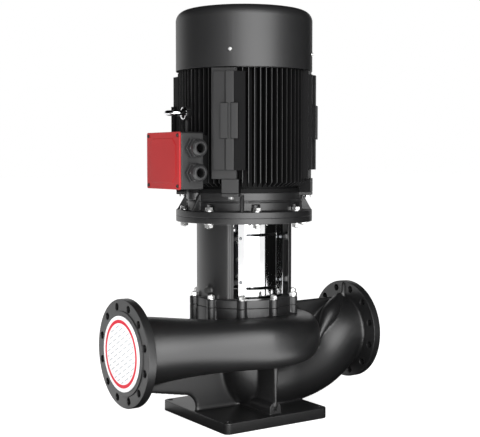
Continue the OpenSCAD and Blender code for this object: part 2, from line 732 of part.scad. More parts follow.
module guard_screws() {
    color(steel) for (a = [0, 180], x = [-1, 1], z = guard_screw_z) rotate(a)
        translate([x * guard_screw_x, -guard_y - guard_t, z]) rotate([90, 0, 0]) {
            translate([0, 0, -12]) cylinder(d = guard_screw_d, h = 12);
            cylinder(r1 = 5.5, r2 = 3.6, h = 3.4);
        }
}

// Bolts and nuts between bracket head and motor flange
bolt_af = motor_bolt_d * 1.5;

module flange_bolts() {
    color(steel) around(motor_flange_bolts, motor_flange_pcd / 2, 180 / motor_flange_bolts) {
        translate([0, 0, head_z - 17]) cylinder(d = motor_bolt_d, h = motor_flange_z - head_z + 17);
        translate([0, 0, motor_flange_z]) cylinder(r = motor_bolt_d / 2 + 7, h = 3);
        translate([0, 0, motor_flange_z + 2.5]) rotate(10) cylinder(d = bolt_af / cos(30), h = 10.5, $fn = 6);
    }
}

module flange_nuts() {
    color(steel) around(motor_flange_bolts, motor_flange_pcd / 2, 180 / motor_flange_bolts)
        translate([0, 0, head_z]) mirror([0, 0, 1]) rotate(10)
            washer_nut(bolt_af, motor_bolt_d / 2 + 7, motor_bolt_d + 0.1, 3, 11);
}

// Drive-end shield with the mounting flange
neck_out_r = barrel_r + 10;
frame_bore_r = barrel_r - barrel_wall;
bearing_or = 60;
bearing_ir = 32.5;
bearing_w = 23;
bearing_pitch_r = (bearing_or + bearing_ir) / 2;
ball_r = 8.3;
ball_count = 10;
drive_bearing_z = motor_z + 44;
rib_angles = [54.5, 7.8, 321, 234.5, 187.8, 141];
lug_r = fin_r + 10;
lug_half_w = 27;
lug_h = 55;
endshield_screw_r = fin_r - 4;
endshield_screw_d = 12;

module drive_endshield() {
    groove_z = motor_z + endshield_h - 28;
    web_z = drive_bearing_z - 2;
    color(cast_paint) difference() {
        union() {
            rotate_extrude() polygon([[bearing_ir + 3.5, web_z - 12], [motor_spigot_d / 2 - 16, web_z - 12],
                [motor_spigot_d / 2 - 14, motor_z - spigot_depth + 0.5], [motor_spigot_d / 2, motor_z - spigot_depth + 0.5],
                [motor_spigot_d / 2, motor_z], [motor_flange_d / 2, motor_z], [motor_flange_d / 2, motor_flange_z],
                [neck_out_r + 4, motor_flange_z], [neck_out_r, motor_flange_z + 4], [neck_out_r, groove_z - 3],
                [neck_out_r - 3, groove_z - 2], [neck_out_r - 3, groove_z + 2], [neck_out_r, groove_z + 3],
                [neck_out_r, frame_z], [frame_bore_r - 0.05, frame_z], [frame_bore_r - 0.05, frame_z + 6],
                [frame_bore_r - 8, frame_z + 6], [frame_bore_r - 8, web_z + 6], [bearing_or + 22, web_z + 2],
                [bearing_or + 14, drive_bearing_z + bearing_w + 1], [bearing_or + 0.02, drive_bearing_z + bearing_w + 1],
                [bearing_or + 0.02, drive_bearing_z], [bearing_ir + 3.5, drive_bearing_z]]);
            for (a = rib_angles) rotate(a) along_y(-5, 5)
                polygon([[neck_out_r - 2, motor_flange_z - 1], [motor_flange_d / 2 - 3, motor_flange_z - 1],
                    [motor_flange_d / 2 - 3, motor_flange_z + 1], [neck_out_r + 2, frame_z - 6], [neck_out_r - 2, frame_z - 6]]);
            for (a = [45, 135, 225, 315]) rotate(a) translate([neck_out_r - 6, -lug_half_w, frame_z - 11])
                cube([lug_r - neck_out_r + 6, 2 * lug_half_w, 11]);
            translate([-neck_out_r + 3, 0, frame_z - 24]) cylinder(r = 24, h = 24);
            translate([-neck_out_r + 3, 0, frame_z - 28]) cylinder(r1 = 20, r2 = 24, h = 4);
        }
        rotate_extrude() polygon([[bearing_or + 22, web_z + 6], [frame_bore_r - 8, web_z + 6],
            [frame_bore_r - 8, frame_z + 20], [bearing_or + 22, frame_z + 20]]);
        around(motor_flange_bolts, motor_flange_pcd / 2, 180 / motor_flange_bolts)
            translate([0, 0, motor_flange_z]) cylinder(r = motor_bolt_d / 2 + 8.5, h = 22);
        around(motor_flange_bolts, motor_flange_pcd / 2, 180 / motor_flange_bolts)
            translate([0, 0, motor_z - 1]) cylinder(d = motor_bolt_d + 1.5, h = motor_flange_t + 2);
        for (a = [45, 135, 225, 315]) rotate(a) translate([endshield_screw_r, 0, frame_z - 12])
            cylinder(d = endshield_screw_d + 1, h = 20);
    }
}

module endshield_screws() {
    color(steel) for (a = [45, 135, 225, 315]) rotate(a) translate([endshield_screw_r, 0, 0]) {
        translate([0, 0, frame_z - 11 - 8]) rotate(20) cylinder(d = 18 / cos(30), h = 8, $fn = 6);
        translate([0, 0, frame_z - 12]) cylinder(d = endshield_screw_d, h = 36);
    }
}

module bearing_outer(z) {
    translate([0, 0, z]) rotate_extrude() difference() {
        translate([bearing_pitch_r + 5, 0]) square([bearing_or - bearing_pitch_r - 5, bearing_w]);
        translate([bearing_pitch_r, bearing_w / 2]) circle(ball_r + 0.15);
    }
}

module bearing_inner(z) {
    translate([0, 0, z]) rotate_extrude() difference() {
        translate([bearing_ir, 0]) square([bearing_pitch_r - 5 - bearing_ir, bearing_w]);
        translate([bearing_pitch_r, bearing_w / 2]) circle(ball_r + 0.15);
    }
}

module bearing_balls(z) {
    around(ball_count, bearing_pitch_r) translate([0, 0, z + bearing_w / 2]) sphere(ball_r);
}

module drive_bearing_outer() {
    color(steel) bearing_outer(drive_bearing_z);
}

module drive_bearing_inner() {
    color(steel) bearing_inner(drive_bearing_z);
}

module drive_bearing_balls() {
    color(steel) bearing_balls(drive_bearing_z);
}

// Motor frame: finned barrel with four foot pads, box pedestal and lifting boss
fin_z0 = frame_z + 19;
pad_z0 = frame_z + 72;
pad_z1 = frame_top - 14;
block_z0 = frame_z + 170;
block_z1 = frame_z + 279;
eye_z = motor_z + eye_rise;
eye_face = barrel_r + 47;
box_z0 = motor_z + box_rise;
box_z = box_z0 + box_h / 2;
box_front = box_reach - box_cover_t;
box_gasket_t = 1.5;
box_back = box_front - box_gasket_t - box_depth;
pedestal_w = box_w - 37;
pedestal_h = box_h - 28;

module fins_outline() {
    half = asin(fin_t / 2 / barrel_r);
    tip = asin(fin_t / 2 / fin_r) * 0.8;
    polygon([for (i = [0:fin_count - 1]) let(a = i * 360 / fin_count) each [
        (barrel_r - 1) * [cos(a - half), sin(a - half)], fin_r * [cos(a - tip), sin(a - tip)],
        fin_r * [cos(a + tip), sin(a + tip)], (barrel_r - 1) * [cos(a + half), sin(a + half)]]]);
}

module foot_pad() {
    translate([0, 0, pad_z0]) linear_extrude(pad_z1 - pad_z0) polygon([[barrel_r - 4, -52], [fin_r + 16, -52],
        [fin_r + 17, -14], [fin_r + 22, -12], [fin_r + 22, 14], [fin_r + 19, 17], [fin_r - 3, 46], [barrel_r - 4, 46]]);
    translate([barrel_r - 4, -60, frame_z + 44]) cube([fin_r - barrel_r + 10, 78, frame_len - 46]);
    difference() {
        translate([fin_r + 14, -28, block_z0]) cube([12, 56, block_z1 - block_z0]);
        translate([fin_r + 19, -3, block_z0 - 1]) cube([20, 9, block_z1 - block_z0 + 2]);
    }
    translate([neck_out_r - 10, -lug_half_w, frame_z]) cube([lug_r - neck_out_r + 10, 2 * lug_half_w, lug_h - 11]);
}

module motor_frame() {
    color(cast_paint) difference() {
        union() {
            ring(barrel_r, frame_bore_r, frame_z, frame_top);
            ring(neck_out_r, frame_bore_r, frame_z, frame_z + 12);
            difference() {
                translate([0, 0, fin_z0]) linear_extrude(frame_top - fin_z0) fins_outline();
                rotate_extrude() polygon([[barrel_r + 6, fin_z0 - 1], [fin_r + 5, fin_z0 - 1], [fin_r + 5, fin_z0 + 16]]);
            }
            for (a = [45, 135, 225, 315]) rotate(a) foot_pad();
            translate([-box_back, -pedestal_w / 2, box_z - pedestal_h / 2 + 4])
                cube([box_back - barrel_r + 20, pedestal_w, pedestal_h]);
            translate([0, 0, eye_z]) rotate([0, -90, 0]) cylinder(r = eye_shoulder_d / 2 + 1, h = eye_face);
            translate([-eye_face + 8, -6, box_z]) cube([eye_face - barrel_r, 12, eye_z - box_z]);
            translate([-neck_out_r + 3, 0, frame_z]) cylinder(r = 24, h = 30);
        }
        translate([0, 0, frame_z - 1]) cylinder(r = frame_bore_r, h = frame_len + 2);
        translate([-box_back - 1, -pedestal_w / 2 + 14, box_z - pedestal_h / 2 + 18])
            cube([box_back, pedestal_w - 28, pedestal_h - 28]);
        translate([-eye_face - 1, 0, eye_z]) rotate([0, 90, 0]) cylinder(d = eye_thread_d + 0.1, h = eye_thread_len + 3);
        for (a = [45, 135, 225, 315]) rotate(a) translate([endshield_screw_r, 0, frame_z - 1])
            cylinder(d = endshield_screw_d + 0.1, h = 28);
        for (y = [-1, 1], z = [-1, 1]) translate([-box_back - 1, y * (pedestal_w / 2 - 7), box_z + 4 + z * (pedestal_h / 2 - 9)])
            rotate([0, 90, 0]) cylinder(d = 6.1, h = 16);
    }
}

// Stator, rotor and motor shaft
core_z0 = frame_z + 84;
core_z1 = frame_top - 77;
slot_count = 36;

module stator_core() {
    color(steel) translate([0, 0, core_z0]) linear_extrude(core_z1 - core_z0) difference() {
        circle(frame_bore_r - 0.05);
        circle(stator_bore_r);
        for (i = [0:slot_count - 1]) rotate(i * 360 / slot_count) translate([stator_bore_r - 4, -4]) square([30, 8]);
    }
}

module winding(z0, z1) {
    translate([0, 0, z0]) rotate_extrude() translate([stator_bore_r + 16, (z1 - z0) / 2]) rounded_square(28, z1 - z0, 10);
}

module stator_windings() {
    color(copper) winding(core_z0 - 34, core_z0);
    color(copper) winding(core_z1, core_z1 + 34);
}

rotor_bore_r = 40;

module rotor_core() {
    color(steel) ring(stator_bore_r - air_gap, rotor_bore_r + shaft_fit, core_z0, core_z1);
    color(steel) for (z = [core_z0 - 12, core_z1]) ring(stator_bore_r - 6, rotor_bore_r + 24, z, z + 12);
    color(steel) around(12, stator_bore_r - 30) translate([-10, -3, core_z1 + 11]) cube([30, 6, 22]);
    color(steel) around(12, stator_bore_r - 30) translate([-10, -3, core_z0 - 33]) cube([30, 6, 22]);
}

fan_bearing_z = frame_top + 12;
fan_seat_r = 22;
fan_z = frame_top + 62;
fan_h = 66;
shaft_top = fan_z + fan_h + 4;

module motor_shaft() {
    color(steel) {
        translate([0, 0, motor_shaft_z0]) cylinder(d = motor_shaft_d, h = drive_bearing_z - motor_shaft_z0);
        translate([0, 0, drive_bearing_z - 1]) cylinder(r = bearing_ir - shaft_fit, h = bearing_w + 2);
        translate([0, 0, drive_bearing_z + bearing_w]) cylinder(r = rotor_bore_r, h = fan_bearing_z - drive_bearing_z - bearing_w);
        translate([0, 0, fan_bearing_z - 1]) cylinder(r = bearing_ir - shaft_fit, h = bearing_w + 3);
        translate([0, 0, fan_bearing_z + bearing_w]) cylinder(r = fan_seat_r, h = shaft_top - fan_bearing_z - bearing_w);
    }
}

// Fan-end shield, fan and cowl
cowl_gap = 0.6;
cowl_edge_r = 34;
cowl_screw_z = frame_top + 54;
cowl_screw_d = 8;
arm_r = cowl_r - cowl_t - 0.2;

module fan_endshield() {
    color(cast_paint) difference() {
        union() {
            rotate_extrude() polygon([[bearing_ir + 3.5, fan_bearing_z + bearing_w + 10], [bearing_ir + 3.5, fan_bearing_z + bearing_w],
                [bearing_or + 0.02, fan_bearing_z + bearing_w], [bearing_or + 0.02, frame_top - 6], [bearing_or + 12, frame_top - 6],
                [bearing_or + 14, frame_top + 4], [frame_bore_r - 8, frame_top + 2], [frame_bore_r - 8, frame_top - 6],
                [frame_bore_r - 0.05, frame_top - 6], [frame_bore_r - 0.05, frame_top], [barrel_r + 12, frame_top],
                [barrel_r + 12, frame_top + 12], [bearing_or + 24, frame_top + 14], [bearing_or + 16, fan_bearing_z + bearing_w + 10]]);
            for (a = [45, 135, 225, 315]) rotate(a) translate([barrel_r - 4, -16, frame_top]) union() {
                cube([arm_r - barrel_r + 4, 32, 14]);
                translate([arm_r - barrel_r - 8, 0, 0]) cube([12, 32, 66]);
            }
        }
        for (a = [45, 135, 225, 315]) rotate(a) translate([arm_r - 20, 0, cowl_screw_z]) rotate([0, 90, 0])
            cylinder(d = cowl_screw_d + 0.05, h = 30);
        difference() {
            translate([0, 0, frame_top - 1]) cylinder(r = arm_r + 30, h = 80);
            translate([0, 0, frame_top - 2]) cylinder(r = arm_r, h = 82);
        }
    }
}

module fan_bearing_outer() {
    color(steel) bearing_outer(fan_bearing_z);
}

module fan_bearing_inner() {
    color(steel) bearing_inner(fan_bearing_z);
}

module fan_bearing_balls() {
    color(steel) bearing_balls(fan_bearing_z);
}

module cooling_fan() {
    blade_r = cowl_r - 34;
    color(rubber) {
        ring(fan_seat_r + 14, fan_seat_r + shaft_fit, fan_z, fan_z + fan_h);
        ring(blade_r - 40, fan_seat_r + 12, fan_z + 2, fan_z + 7);
        around(fan_blades, 0) along_y(-2, 2) polygon([[fan_seat_r + 12, fan_z + 3], [blade_r - 44, fan_z + 3],
            [blade_r, fan_z + 22], [blade_r, fan_z + fan_h - 2], [fan_seat_r + 30, fan_z + fan_h - 2],
            [fan_seat_r + 12, fan_z + fan_h - 16]]);
    }
}

grille_rings = 8;
grille_pitch = 20;
grille_gap = 12;
grille_hub_r = 30;
spokes = 8;

module cowl_grille() {
    difference() {
        circle(cowl_r - cowl_edge_r + 1);
        difference() {
            for (i = [0:grille_rings - 1]) difference() {
                circle(grille_hub_r + i * grille_pitch + grille_gap);
                circle(grille_hub_r + i * grille_pitch);
            }
            around(spokes / 2, 0) square([2 * cowl_r, 10], center = true);
        }
    }
}

module fan_cowl() {
    z0 = frame_top + cowl_gap;
    color(cast_paint) difference() {
        union() {
            translate([0, 0, cowl_top - cowl_t]) linear_extrude(cowl_t) cowl_grille();
            rotate_extrude() difference() {
                union() {
                    translate([cowl_r - cowl_t, z0]) square([cowl_t, cowl_top - cowl_edge_r - z0]);
                    intersection() {
                        translate([cowl_r - cowl_edge_r, cowl_top - cowl_edge_r]) difference() {
                            circle(cowl_edge_r);
                            circle(cowl_edge_r - cowl_t);
                        }
                        translate([cowl_r - cowl_edge_r, cowl_top - cowl_edge_r]) square(cowl_edge_r + 1);
                    }
                }
            }
        }
        for (a = [45, 135, 225, 315]) rotate(a) translate([cowl_r - 10, 0, cowl_screw_z]) rotate([0, 90, 0])
            cylinder(d = cowl_screw_d + 1, h = 20);
    }
}

module cowl_screws() {
    color(steel) for (a = [45, 135, 225, 315]) rotate(a) translate([cowl_r, 0, cowl_screw_z]) rotate([0, 90, 0]) {
        translate([0, 0, -16]) cylinder(d = cowl_screw_d, h = 16.5);
        translate([0, 0, 0.2]) cylinder(r1 = 7, r2 = 5, h = 3.6);
    }
}

// Terminal box
post_y = box_w / 2 - 11;
post_z = box_h / 2 - 11;
cover_screw_d = 6;
gland_x = box_back + 0.43 * box_depth;
gland_z = [box_z - 37, box_z - 37 + gland_spacing];
box_corner_r = 6;

module at_box() {
    translate([0, 0, box_z]) children();
}

module terminal_box() {
    x0 = -box_front + box_gasket_t;
    color(cast_paint) difference() {
        union() {
            difference() {
                at_box() along_x(x0, -box_back) rounded_square(box_w, box_h, box_corner_r);
                at_box() along_x(x0 - 1, -box_back - box_wall) rounded_square(box_w - 2 * box_wall, box_h - 2 * box_wall, 4);
            }
            for (y = [-1, 1], z = [-1, 1]) at_box() along_x(x0, -box_back) translate([y * post_y, z * post_z]) circle(9);
        }
        for (y = [-1, 1], z = [-1, 1]) translate([x0 - 1, y * post_y, box_z + z * post_z]) rotate([0, 90, 0])
            cylinder(d = cover_screw_d + 0.05, h = 19);
        for (z = gland_z) translate([-gland_x, -box_w / 2 - 1, z]) rotate([-90, 0, 0])
            cylinder(d = gland_thread_d + 0.05, h = box_wall + 4);
        translate([-box_back - box_wall - 1, -50, box_z - 40]) cube([box_wall + 2, 100, 80]);
        for (y = [-1, 1], z = [-1, 1]) translate([-box_back - 10, y * (pedestal_w / 2 - 7), box_z + 4 + z * (pedestal_h / 2 - 9)])
            rotate([0, 90, 0]) cylinder(d = 6.1, h = 16);
    }
}

module box_screws() {
    color(steel) for (y = [-1, 1], z = [-1, 1])
        translate([-box_back, y * (pedestal_w / 2 - 7), box_z + 4 + z * (pedestal_h / 2 - 9)]) rotate([0, 90, 0]) {
            translate([0, 0, -box_wall - 1]) cylinder(d = 6, h = box_wall + 15);
            translate([0, 0, -box_wall - 5]) cylinder(r = 5, h = 5);
        }
}

module box_gasket() {
    color(rubber) difference() {
        at_box() along_x(-box_front, -box_front + box_gasket_t) rounded_square(box_w, box_h, box_corner_r);
        at_box() along_x(-box_front - 1, -box_front + 3) rounded_square(box_w - 2 * box_wall, box_h - 2 * box_wall, 4);
        for (y = [-1, 1], z = [-1, 1]) translate([-box_front - 1, y * post_y, box_z + z * post_z]) rotate([0, 90, 0])
            cylinder(d = cover_screw_d + 0.6, h = 5);
    }
}

module terminal_cover() {
    panel = [box_w / 2 - 20, box_h / 2 - 20];
    cut = 22;
    color(cover_red) difference() {
        union() {
            at_box() along_x(-box_reach + 1.5, -box_front) rounded_square(box_w, box_h, box_corner_r);
            at_box() along_x(-box_reach, -box_reach + 2) polygon([
                [-panel[0], -panel[1] + cut], [-panel[0] + cut, -panel[1]], [panel[0] - cut, -panel[1]], [panel[0], -panel[1] + cut],
                [panel[0], panel[1] - cut], [panel[0] - cut, panel[1]], [-panel[0] + cut, panel[1]], [-panel[0], panel[1] - cut]]);
        }
        for (y = [-1, 1], z = [-1, 1]) translate([-box_reach - 1, y * post_y, box_z + z * post_z]) rotate([0, 90, 0]) {
            cylinder(d = cover_screw_d + 0.6, h = 12);
            cylinder(d = 12.5, h = 4);
        }
    }
}

module cover_screws() {
    color(rubber) for (y = [-1, 1], z = [-1, 1]) translate([-box_reach + 3, y * post_y, box_z + z * post_z]) rotate([0, 90, 0]) {
        cylinder(d = cover_screw_d, h = 18);
        translate([0, 0, -4]) difference() {
            cylinder(r = 5, h = 4);
            translate([0, 0, -eps]) cylinder(r = 2.9, h = 3, $fn = 6);
        }
    }
}

block_w = box_w - 111;
block_h = box_h - 110;

module at_terminals() {
    for (y = [-1, 0, 1], z = [-1, 1]) translate([0, y * (block_w / 2 - 18), box_z + z * (block_h / 2 - 16)])
        rotate([0, 90, 0]) children();
}

module terminal_block() {
    x1 = -box_back - box_wall;
    color(rubber) translate([x1 - 16, -block_w / 2, box_z - block_h / 2]) cube([10, block_w, block_h]);
    color(rubber) for (y = [-1, 1]) translate([x1 - 8, y * (block_w / 2 - 10) - 6, box_z - block_h / 2 - 16])
        cube([8, 12, block_h + 32]);
    color(copper) translate([x1 - 30, 0, 0]) at_terminals() cylinder(r = 3, h = 18);
    color(copper) translate([x1 - 21, 0, 0]) at_terminals() cylinder(r = 6, h = 5, $fn = 6);
}

gland_flange_t = 12;
gland_body_len = 30;

module along_gland() {
    for (z = gland_z) translate([-gland_x, -box_w / 2, z]) rotate([90, 0, 0]) children();
}

module gland_bodies() {
    color(rubber) along_gland() difference() {
        union() {
            translate([0, 0, -box_wall - 4]) cylinder(d = gland_thread_d, h = box_wall + 5);
            cylinder(d = gland_hex / cos(30), h = gland_flange_t, $fn = 6);
            cylinder(d = gland_thread_d, h = gland_body_len);
        }
        translate([0, 0, -box_wall - 5]) cylinder(d = gland_bore_d + 3, h = 60);
    }
}

module gland_nuts() {
    nut_z = gland_flange_t + 3;
    color(rubber) along_gland() difference() {
        union() {
            translate([0, 0, nut_z]) cylinder(d = (gland_hex - 5) / cos(30), h = 12, $fn = 6);
            translate([0, 0, nut_z + 11]) cylinder(d = gland_hex - 5, h = 10);
            translate([0, 0, nut_z + 21]) cylinder(d1 = gland_hex - 5, d2 = gland_hex - 17, h = 6);
        }
        translate([0, 0, nut_z - 1]) cylinder(d = gland_thread_d + 0.1, h = gland_body_len - nut_z + 1.5);
        translate([0, 0, nut_z]) cylinder(d = gland_bore_d + 7, h = 22);
        translate([0, 0, nut_z]) cylinder(d = gland_bore_d, h = 40);
    }
}

module gland_seals() {
    color(rubber) along_gland() ring(gland_bore_d / 2 + 3.45, gland_bore_d / 2, gland_body_len + 0.6, gland_body_len + 6.9);
}

// Lifting eye
eye_thread_d = 20;
eye_thread_len = 30;
eye_wire_r = (eye_od - eye_id) / 4;
eye_centre = eye_face + 10 + eye_id / 2 + eye_wire_r - 4;

module lifting_eye() {
    color(steel) translate([0, 0, eye_z]) {
        translate([-eye_centre, 0, 0]) rotate_extrude() translate([eye_id / 2 + eye_wire_r, 0]) circle(eye_wire_r);
        difference() {
            union() {
                translate([-eye_face, 0, 0]) rotate([0, -90, 0]) cylinder(d = eye_shoulder_d, h = 5);
                translate([-eye_face - 5, 0, 0]) rotate([0, -90, 0]) cylinder(d1 = eye_shoulder_d - 6, d2 = eye_wire_r * 2.2, h = 8);
            }
            translate([-eye_centre, 0, -30]) cylinder(d = eye_id, h = 60);
        }
        translate([-eye_face - 1, 0, 0]) rotate([0, 90, 0]) cylinder(d = eye_thread_d, h = eye_thread_len + 1);
    }
}

// Transit covers on the pipe flanges, pushed into the bores
plug_depth = 12;

module transit_cover() {
    color(plastic_white) translate([0, 0, pipe_z]) rotate([0, 90, 0]) {
        translate([0, 0, half_length]) cylinder(d = transit_cover_d, h = transit_cover_t);
        ring(pipe_bore / 2 - 0.6, pipe_bore / 2 - 4, half_length - plug_depth, half_length + 1);
    }
}

module discharge_transit_cover() {
    mirror([1, 0, 0]) transit_cover();
}

module suction_transit_cover() {
    transit_cover();
}

pump_casing();
casing_wear_ring();
drain_plug();
vent_plug();
casing_gasket();
casing_cover();
seal_seat();
seal_head();
seal_spring();
seal_collar();
impeller();
impeller_key();
impeller_nut();
pump_shaft();
coupling_shell_front();
coupling_shell_rear();
coupling_screws();
motor_bracket();
bracket_studs();
bracket_nuts();
guard_front();
guard_rear();
guard_screws();
flange_bolts();
flange_nuts();
drive_endshield();
endshield_screws();
drive_bearing_outer();
drive_bearing_inner();
drive_bearing_balls();
motor_frame();
stator_core();
stator_windings();
rotor_core();
motor_shaft();
fan_endshield();
fan_bearing_outer();
fan_bearing_inner();
fan_bearing_balls();
cooling_fan();
fan_cowl();
cowl_screws();
terminal_box();
box_screws();
box_gasket();
terminal_cover();
cover_screws();
terminal_block();
gland_bodies();
gland_nuts();
gland_seals();
lifting_eye();
discharge_transit_cover();
suction_transit_cover();
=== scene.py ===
import math

import bmesh
import bpy
from mathutils import Matrix, Vector


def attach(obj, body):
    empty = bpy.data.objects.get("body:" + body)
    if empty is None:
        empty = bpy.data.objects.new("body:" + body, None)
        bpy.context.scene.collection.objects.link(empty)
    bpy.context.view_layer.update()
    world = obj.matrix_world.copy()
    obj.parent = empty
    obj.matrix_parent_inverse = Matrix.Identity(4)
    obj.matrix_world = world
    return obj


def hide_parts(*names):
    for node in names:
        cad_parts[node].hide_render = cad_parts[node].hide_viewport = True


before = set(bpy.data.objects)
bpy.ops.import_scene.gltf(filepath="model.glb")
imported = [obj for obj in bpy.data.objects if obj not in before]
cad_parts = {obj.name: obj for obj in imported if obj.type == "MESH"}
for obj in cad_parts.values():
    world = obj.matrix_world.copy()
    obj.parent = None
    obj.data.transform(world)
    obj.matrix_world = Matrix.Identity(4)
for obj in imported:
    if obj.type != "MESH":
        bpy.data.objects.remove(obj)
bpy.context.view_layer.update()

# Camera
# A long lens stands to the left of the pump, a little above the middle of the bracket,
# and looks slightly down on it.
CAMERA_TURN = -33.56
CAMERA_DIP = 3.32


def placed(name, data):
    """A new object in the scene that shows a mesh, a lamp or a camera."""
    obj = bpy.data.objects.new(name, data)
    bpy.context.scene.collection.objects.link(obj)
    return obj


cam_data = bpy.data.cameras.new("photo_camera")
cam_data.lens = 76.58
cam_data.sensor_width = 36
camera = placed("photo_camera", cam_data)
camera.location = (-1.8809, -2.8110, 0.8515)
camera.rotation_euler = (math.radians(90 - CAMERA_DIP), 0, math.radians(CAMERA_TURN))
bpy.context.scene.camera = camera
bpy.context.scene.view_settings.view_transform = "Standard"


# Studio
# A white floor and backdrop. One wide soft box stands behind the camera, one hangs above it, one
# lies on the floor, and a fill comes from the left. Dark cards that only gloss sees stand round
# the pump, so that the black paint stays black between its highlights.
def new_material(name):
    mat = bpy.data.materials.new(name)
    mat.use_nodes = True
    nodes, links = mat.node_tree.nodes, mat.node_tree.links
    nodes.clear()
    return mat, nodes, links


def add(nodes, kind, **settings):
    """Adds a node. in_0 sets the value of its first input, in_1 of its second, and so on."""
    node = nodes.new(kind)
    for key, value in settings.items():
        if key.startswith("in_"):
            node.inputs[int(key[3:])].default_value = value
        else:
            setattr(node, key, value)
    return node


def compute(nodes, links, operation, *values):
    """One step of arithmetic. Each value is a socket or a plain number."""
    node = add(nodes, "ShaderNodeMath", operation=operation)
    for socket, value in zip(node.inputs, values):
        if isinstance(value, (int, float)):
            socket.default_value = value
        else:
            links.new(value, socket)
    return node.outputs[0]


def remap(nodes, links, value, low, high, to_low=0.0, to_high=1.0):
    """Moves a value from the range low to high into another range."""
    node = add(nodes, "ShaderNodeMapRange")
    for label, limit in (("From Min", low), ("From Max", high), ("To Min", to_low), ("To Max", to_high)):
        node.inputs[label].default_value = limit
    links.new(value, node.inputs["Value"])
    return node.outputs["Result"]


def backdrop_level(nodes, links, low, high):
    """One strength for the rays that show the backdrop, and another for those that light the pump."""
    ray = add(nodes, "ShaderNodeLightPath").outputs
    shows = compute(nodes, links, "MAXIMUM", ray["Is Camera Ray"], ray["Is Glossy Ray"])
    shows = compute(nodes, links, "MAXIMUM", shows, ray["Is Transmission Ray"])
    return remap(nodes, links, shows, 0, 1, low, high)


def soft_box(name, place, aim, size, watts):
    data = bpy.data.lights.new(name, "AREA")
    data.shape = "RECTANGLE"
    data.size, data.size_y = size
    data.energy = watts
    lamp = placed(name, data)
    lamp.location = place
    lamp.rotation_euler = (Vector(aim) - Vector(place)).to_track_quat("-Z", "Y").to_euler()
    return lamp


def sheet_of(name, corners, mat):
    mesh = bpy.data.meshes.new(name)
    mesh.from_pydata(corners, [], [(0, 1, 2, 3)])
    mesh.materials.append(mat)
    obj = placed(name, mesh)
    return obj


world = bpy.data.worlds.new("studio")
bpy.context.scene.world = world
world.use_nodes = True
nodes, links = world.node_tree.nodes, world.node_tree.links
nodes.clear()
back = add(nodes, "ShaderNodeBackground", in_0=(1, 1, 1, 1))
links.new(backdrop_level(nodes, links, 0.4, 1.0), back.inputs["Strength"])
links.new(back.outputs[0], add(nodes, "ShaderNodeOutputWorld").inputs[0])

floor_mat, nodes, links = new_material("white_floor")
diffuse = add(nodes, "ShaderNodeBsdfDiffuse", in_0=(0.8, 0.8, 0.8, 1))
glow = add(nodes, "ShaderNodeEmission")
both = add(nodes, "ShaderNodeAddShader")
links.new(backdrop_level(nodes, links, 0.0, 0.75), glow.inputs["Strength"])
links.new(diffuse.outputs[0], both.inputs[0])
links.new(glow.outputs[0], both.inputs[1])
links.new(both.outputs[0], add(nodes, "ShaderNodeOutputMaterial").inputs[0])
sheet_of("floor", [(-40, -40, 0), (40, -40, 0), (40, 40, 0), (-40, 40, 0)], floor_mat)

card_mat, nodes, links = new_material("dark_card")
card = add(nodes, "ShaderNodeBsdfDiffuse", in_0=(0.004, 0.004, 0.004, 1))
links.new(card.outputs[0], add(nodes, "ShaderNodeOutputMaterial").inputs[0])
CARD_TOP, CARD_REACH = 3.2, 5


def dark_card(name, corners):
    card = sheet_of(name, corners, card_mat)
    card.visible_camera = card.visible_diffuse = card.visible_shadow = False


def upright_card(name, start, end, low=0, high=CARD_TOP):
    dark_card(name, [(*start, low), (*end, low), (*end, high), (*start, high)])


def level_card(name, x, y_front, y_back, z):
    dark_card(name, [(-x, y_front, z), (x, y_front, z), (x, y_back, z), (-x, y_back, z)])


level_card("card_top", CARD_REACH, -CARD_REACH, CARD_REACH, CARD_TOP)
upright_card("card_right", (2.6, -3.5), (2.6, 1.2))
upright_card("card_front", (2.6, -3.5), (1.19, -4.6), 0.6)
level_card("card_low", 2.2, -2.2, 0.2, 0.002)
upright_card("card_flag", (0.62, -0.97), (0.7, -0.91), 0.2, 0.65)
upright_card("card_left", (-3, 2.5), (-3, -2.1))
upright_card("card_rear", (-3, 5.5), (-3, 2.5), 0.45)

soft_box("front_box", (-0.95, -4.1, 1.45), (0, 0, 0.9), (4.4, 2.9), 170)
soft_box("high_box", (-1.25, -2.35, 3.0), (-0.2, 0, 0.4), (2.9, 1.4), 41)
low_box = soft_box("low_box", (-0.75, -1.2, 0.004), (-0.75, -1.2, 1), (2.2, 1.5), 38)
low_box.visible_camera = False
fill = soft_box("left_fill", (-3.6, -0.9, 1.2), (0, 0, 0.6), (1.6, 2.4), 60)
fill.visible_glossy = False


# Pump casing
# One iron casting: a volute that winds down from the tongue to the discharge pipe, a suction
# elbow that turns up into its eye, two pipe flanges and a square base. The cast corners are
# rounded, the flange faces, the base and the joint to the bracket are machined.
PIPE_Z = 0.250
VOLUTE_Z, VOLUTE_SQUARENESS = 0.272, 2.5
TONGUE_ANGLE, THROAT_ANGLE = 150, -104
HALF_LENGTH = 0.455
FLANGE_BACK, FLANGE_FACE, FLANGE_R, RAISED_R = 0.425, 0.452, 0.170, 0.133
FLANGE_HOLES, FLANGE_HOLE_R, FLANGE_HOLES_AT = 12, 0.0115, 0.1475
PIPE_R, BORE_R = 0.112, 0.0995
CASTING_WALL, WEB_HALF_T, CAST_EDGE = 0.011, 0.007, 0.001
BASE_T, BASE_HALF, BASE_CORNER_R = 0.035, 0.200, 0.020
BASE_HOLE_R, BASE_HOLES_AT = 0.009, 0.180
RIDGE_Z, RIDGE_R = 0.052, 0.022
RING_Z, RING_R, STUD_BOSS_R, JOINT_EDGE = 0.377, 0.167, 0.015, 0.0026
STUD_R, STUD_COUNT, STUD_START = 0.170, 10, 18
UP = Vector((0, 0, 1))


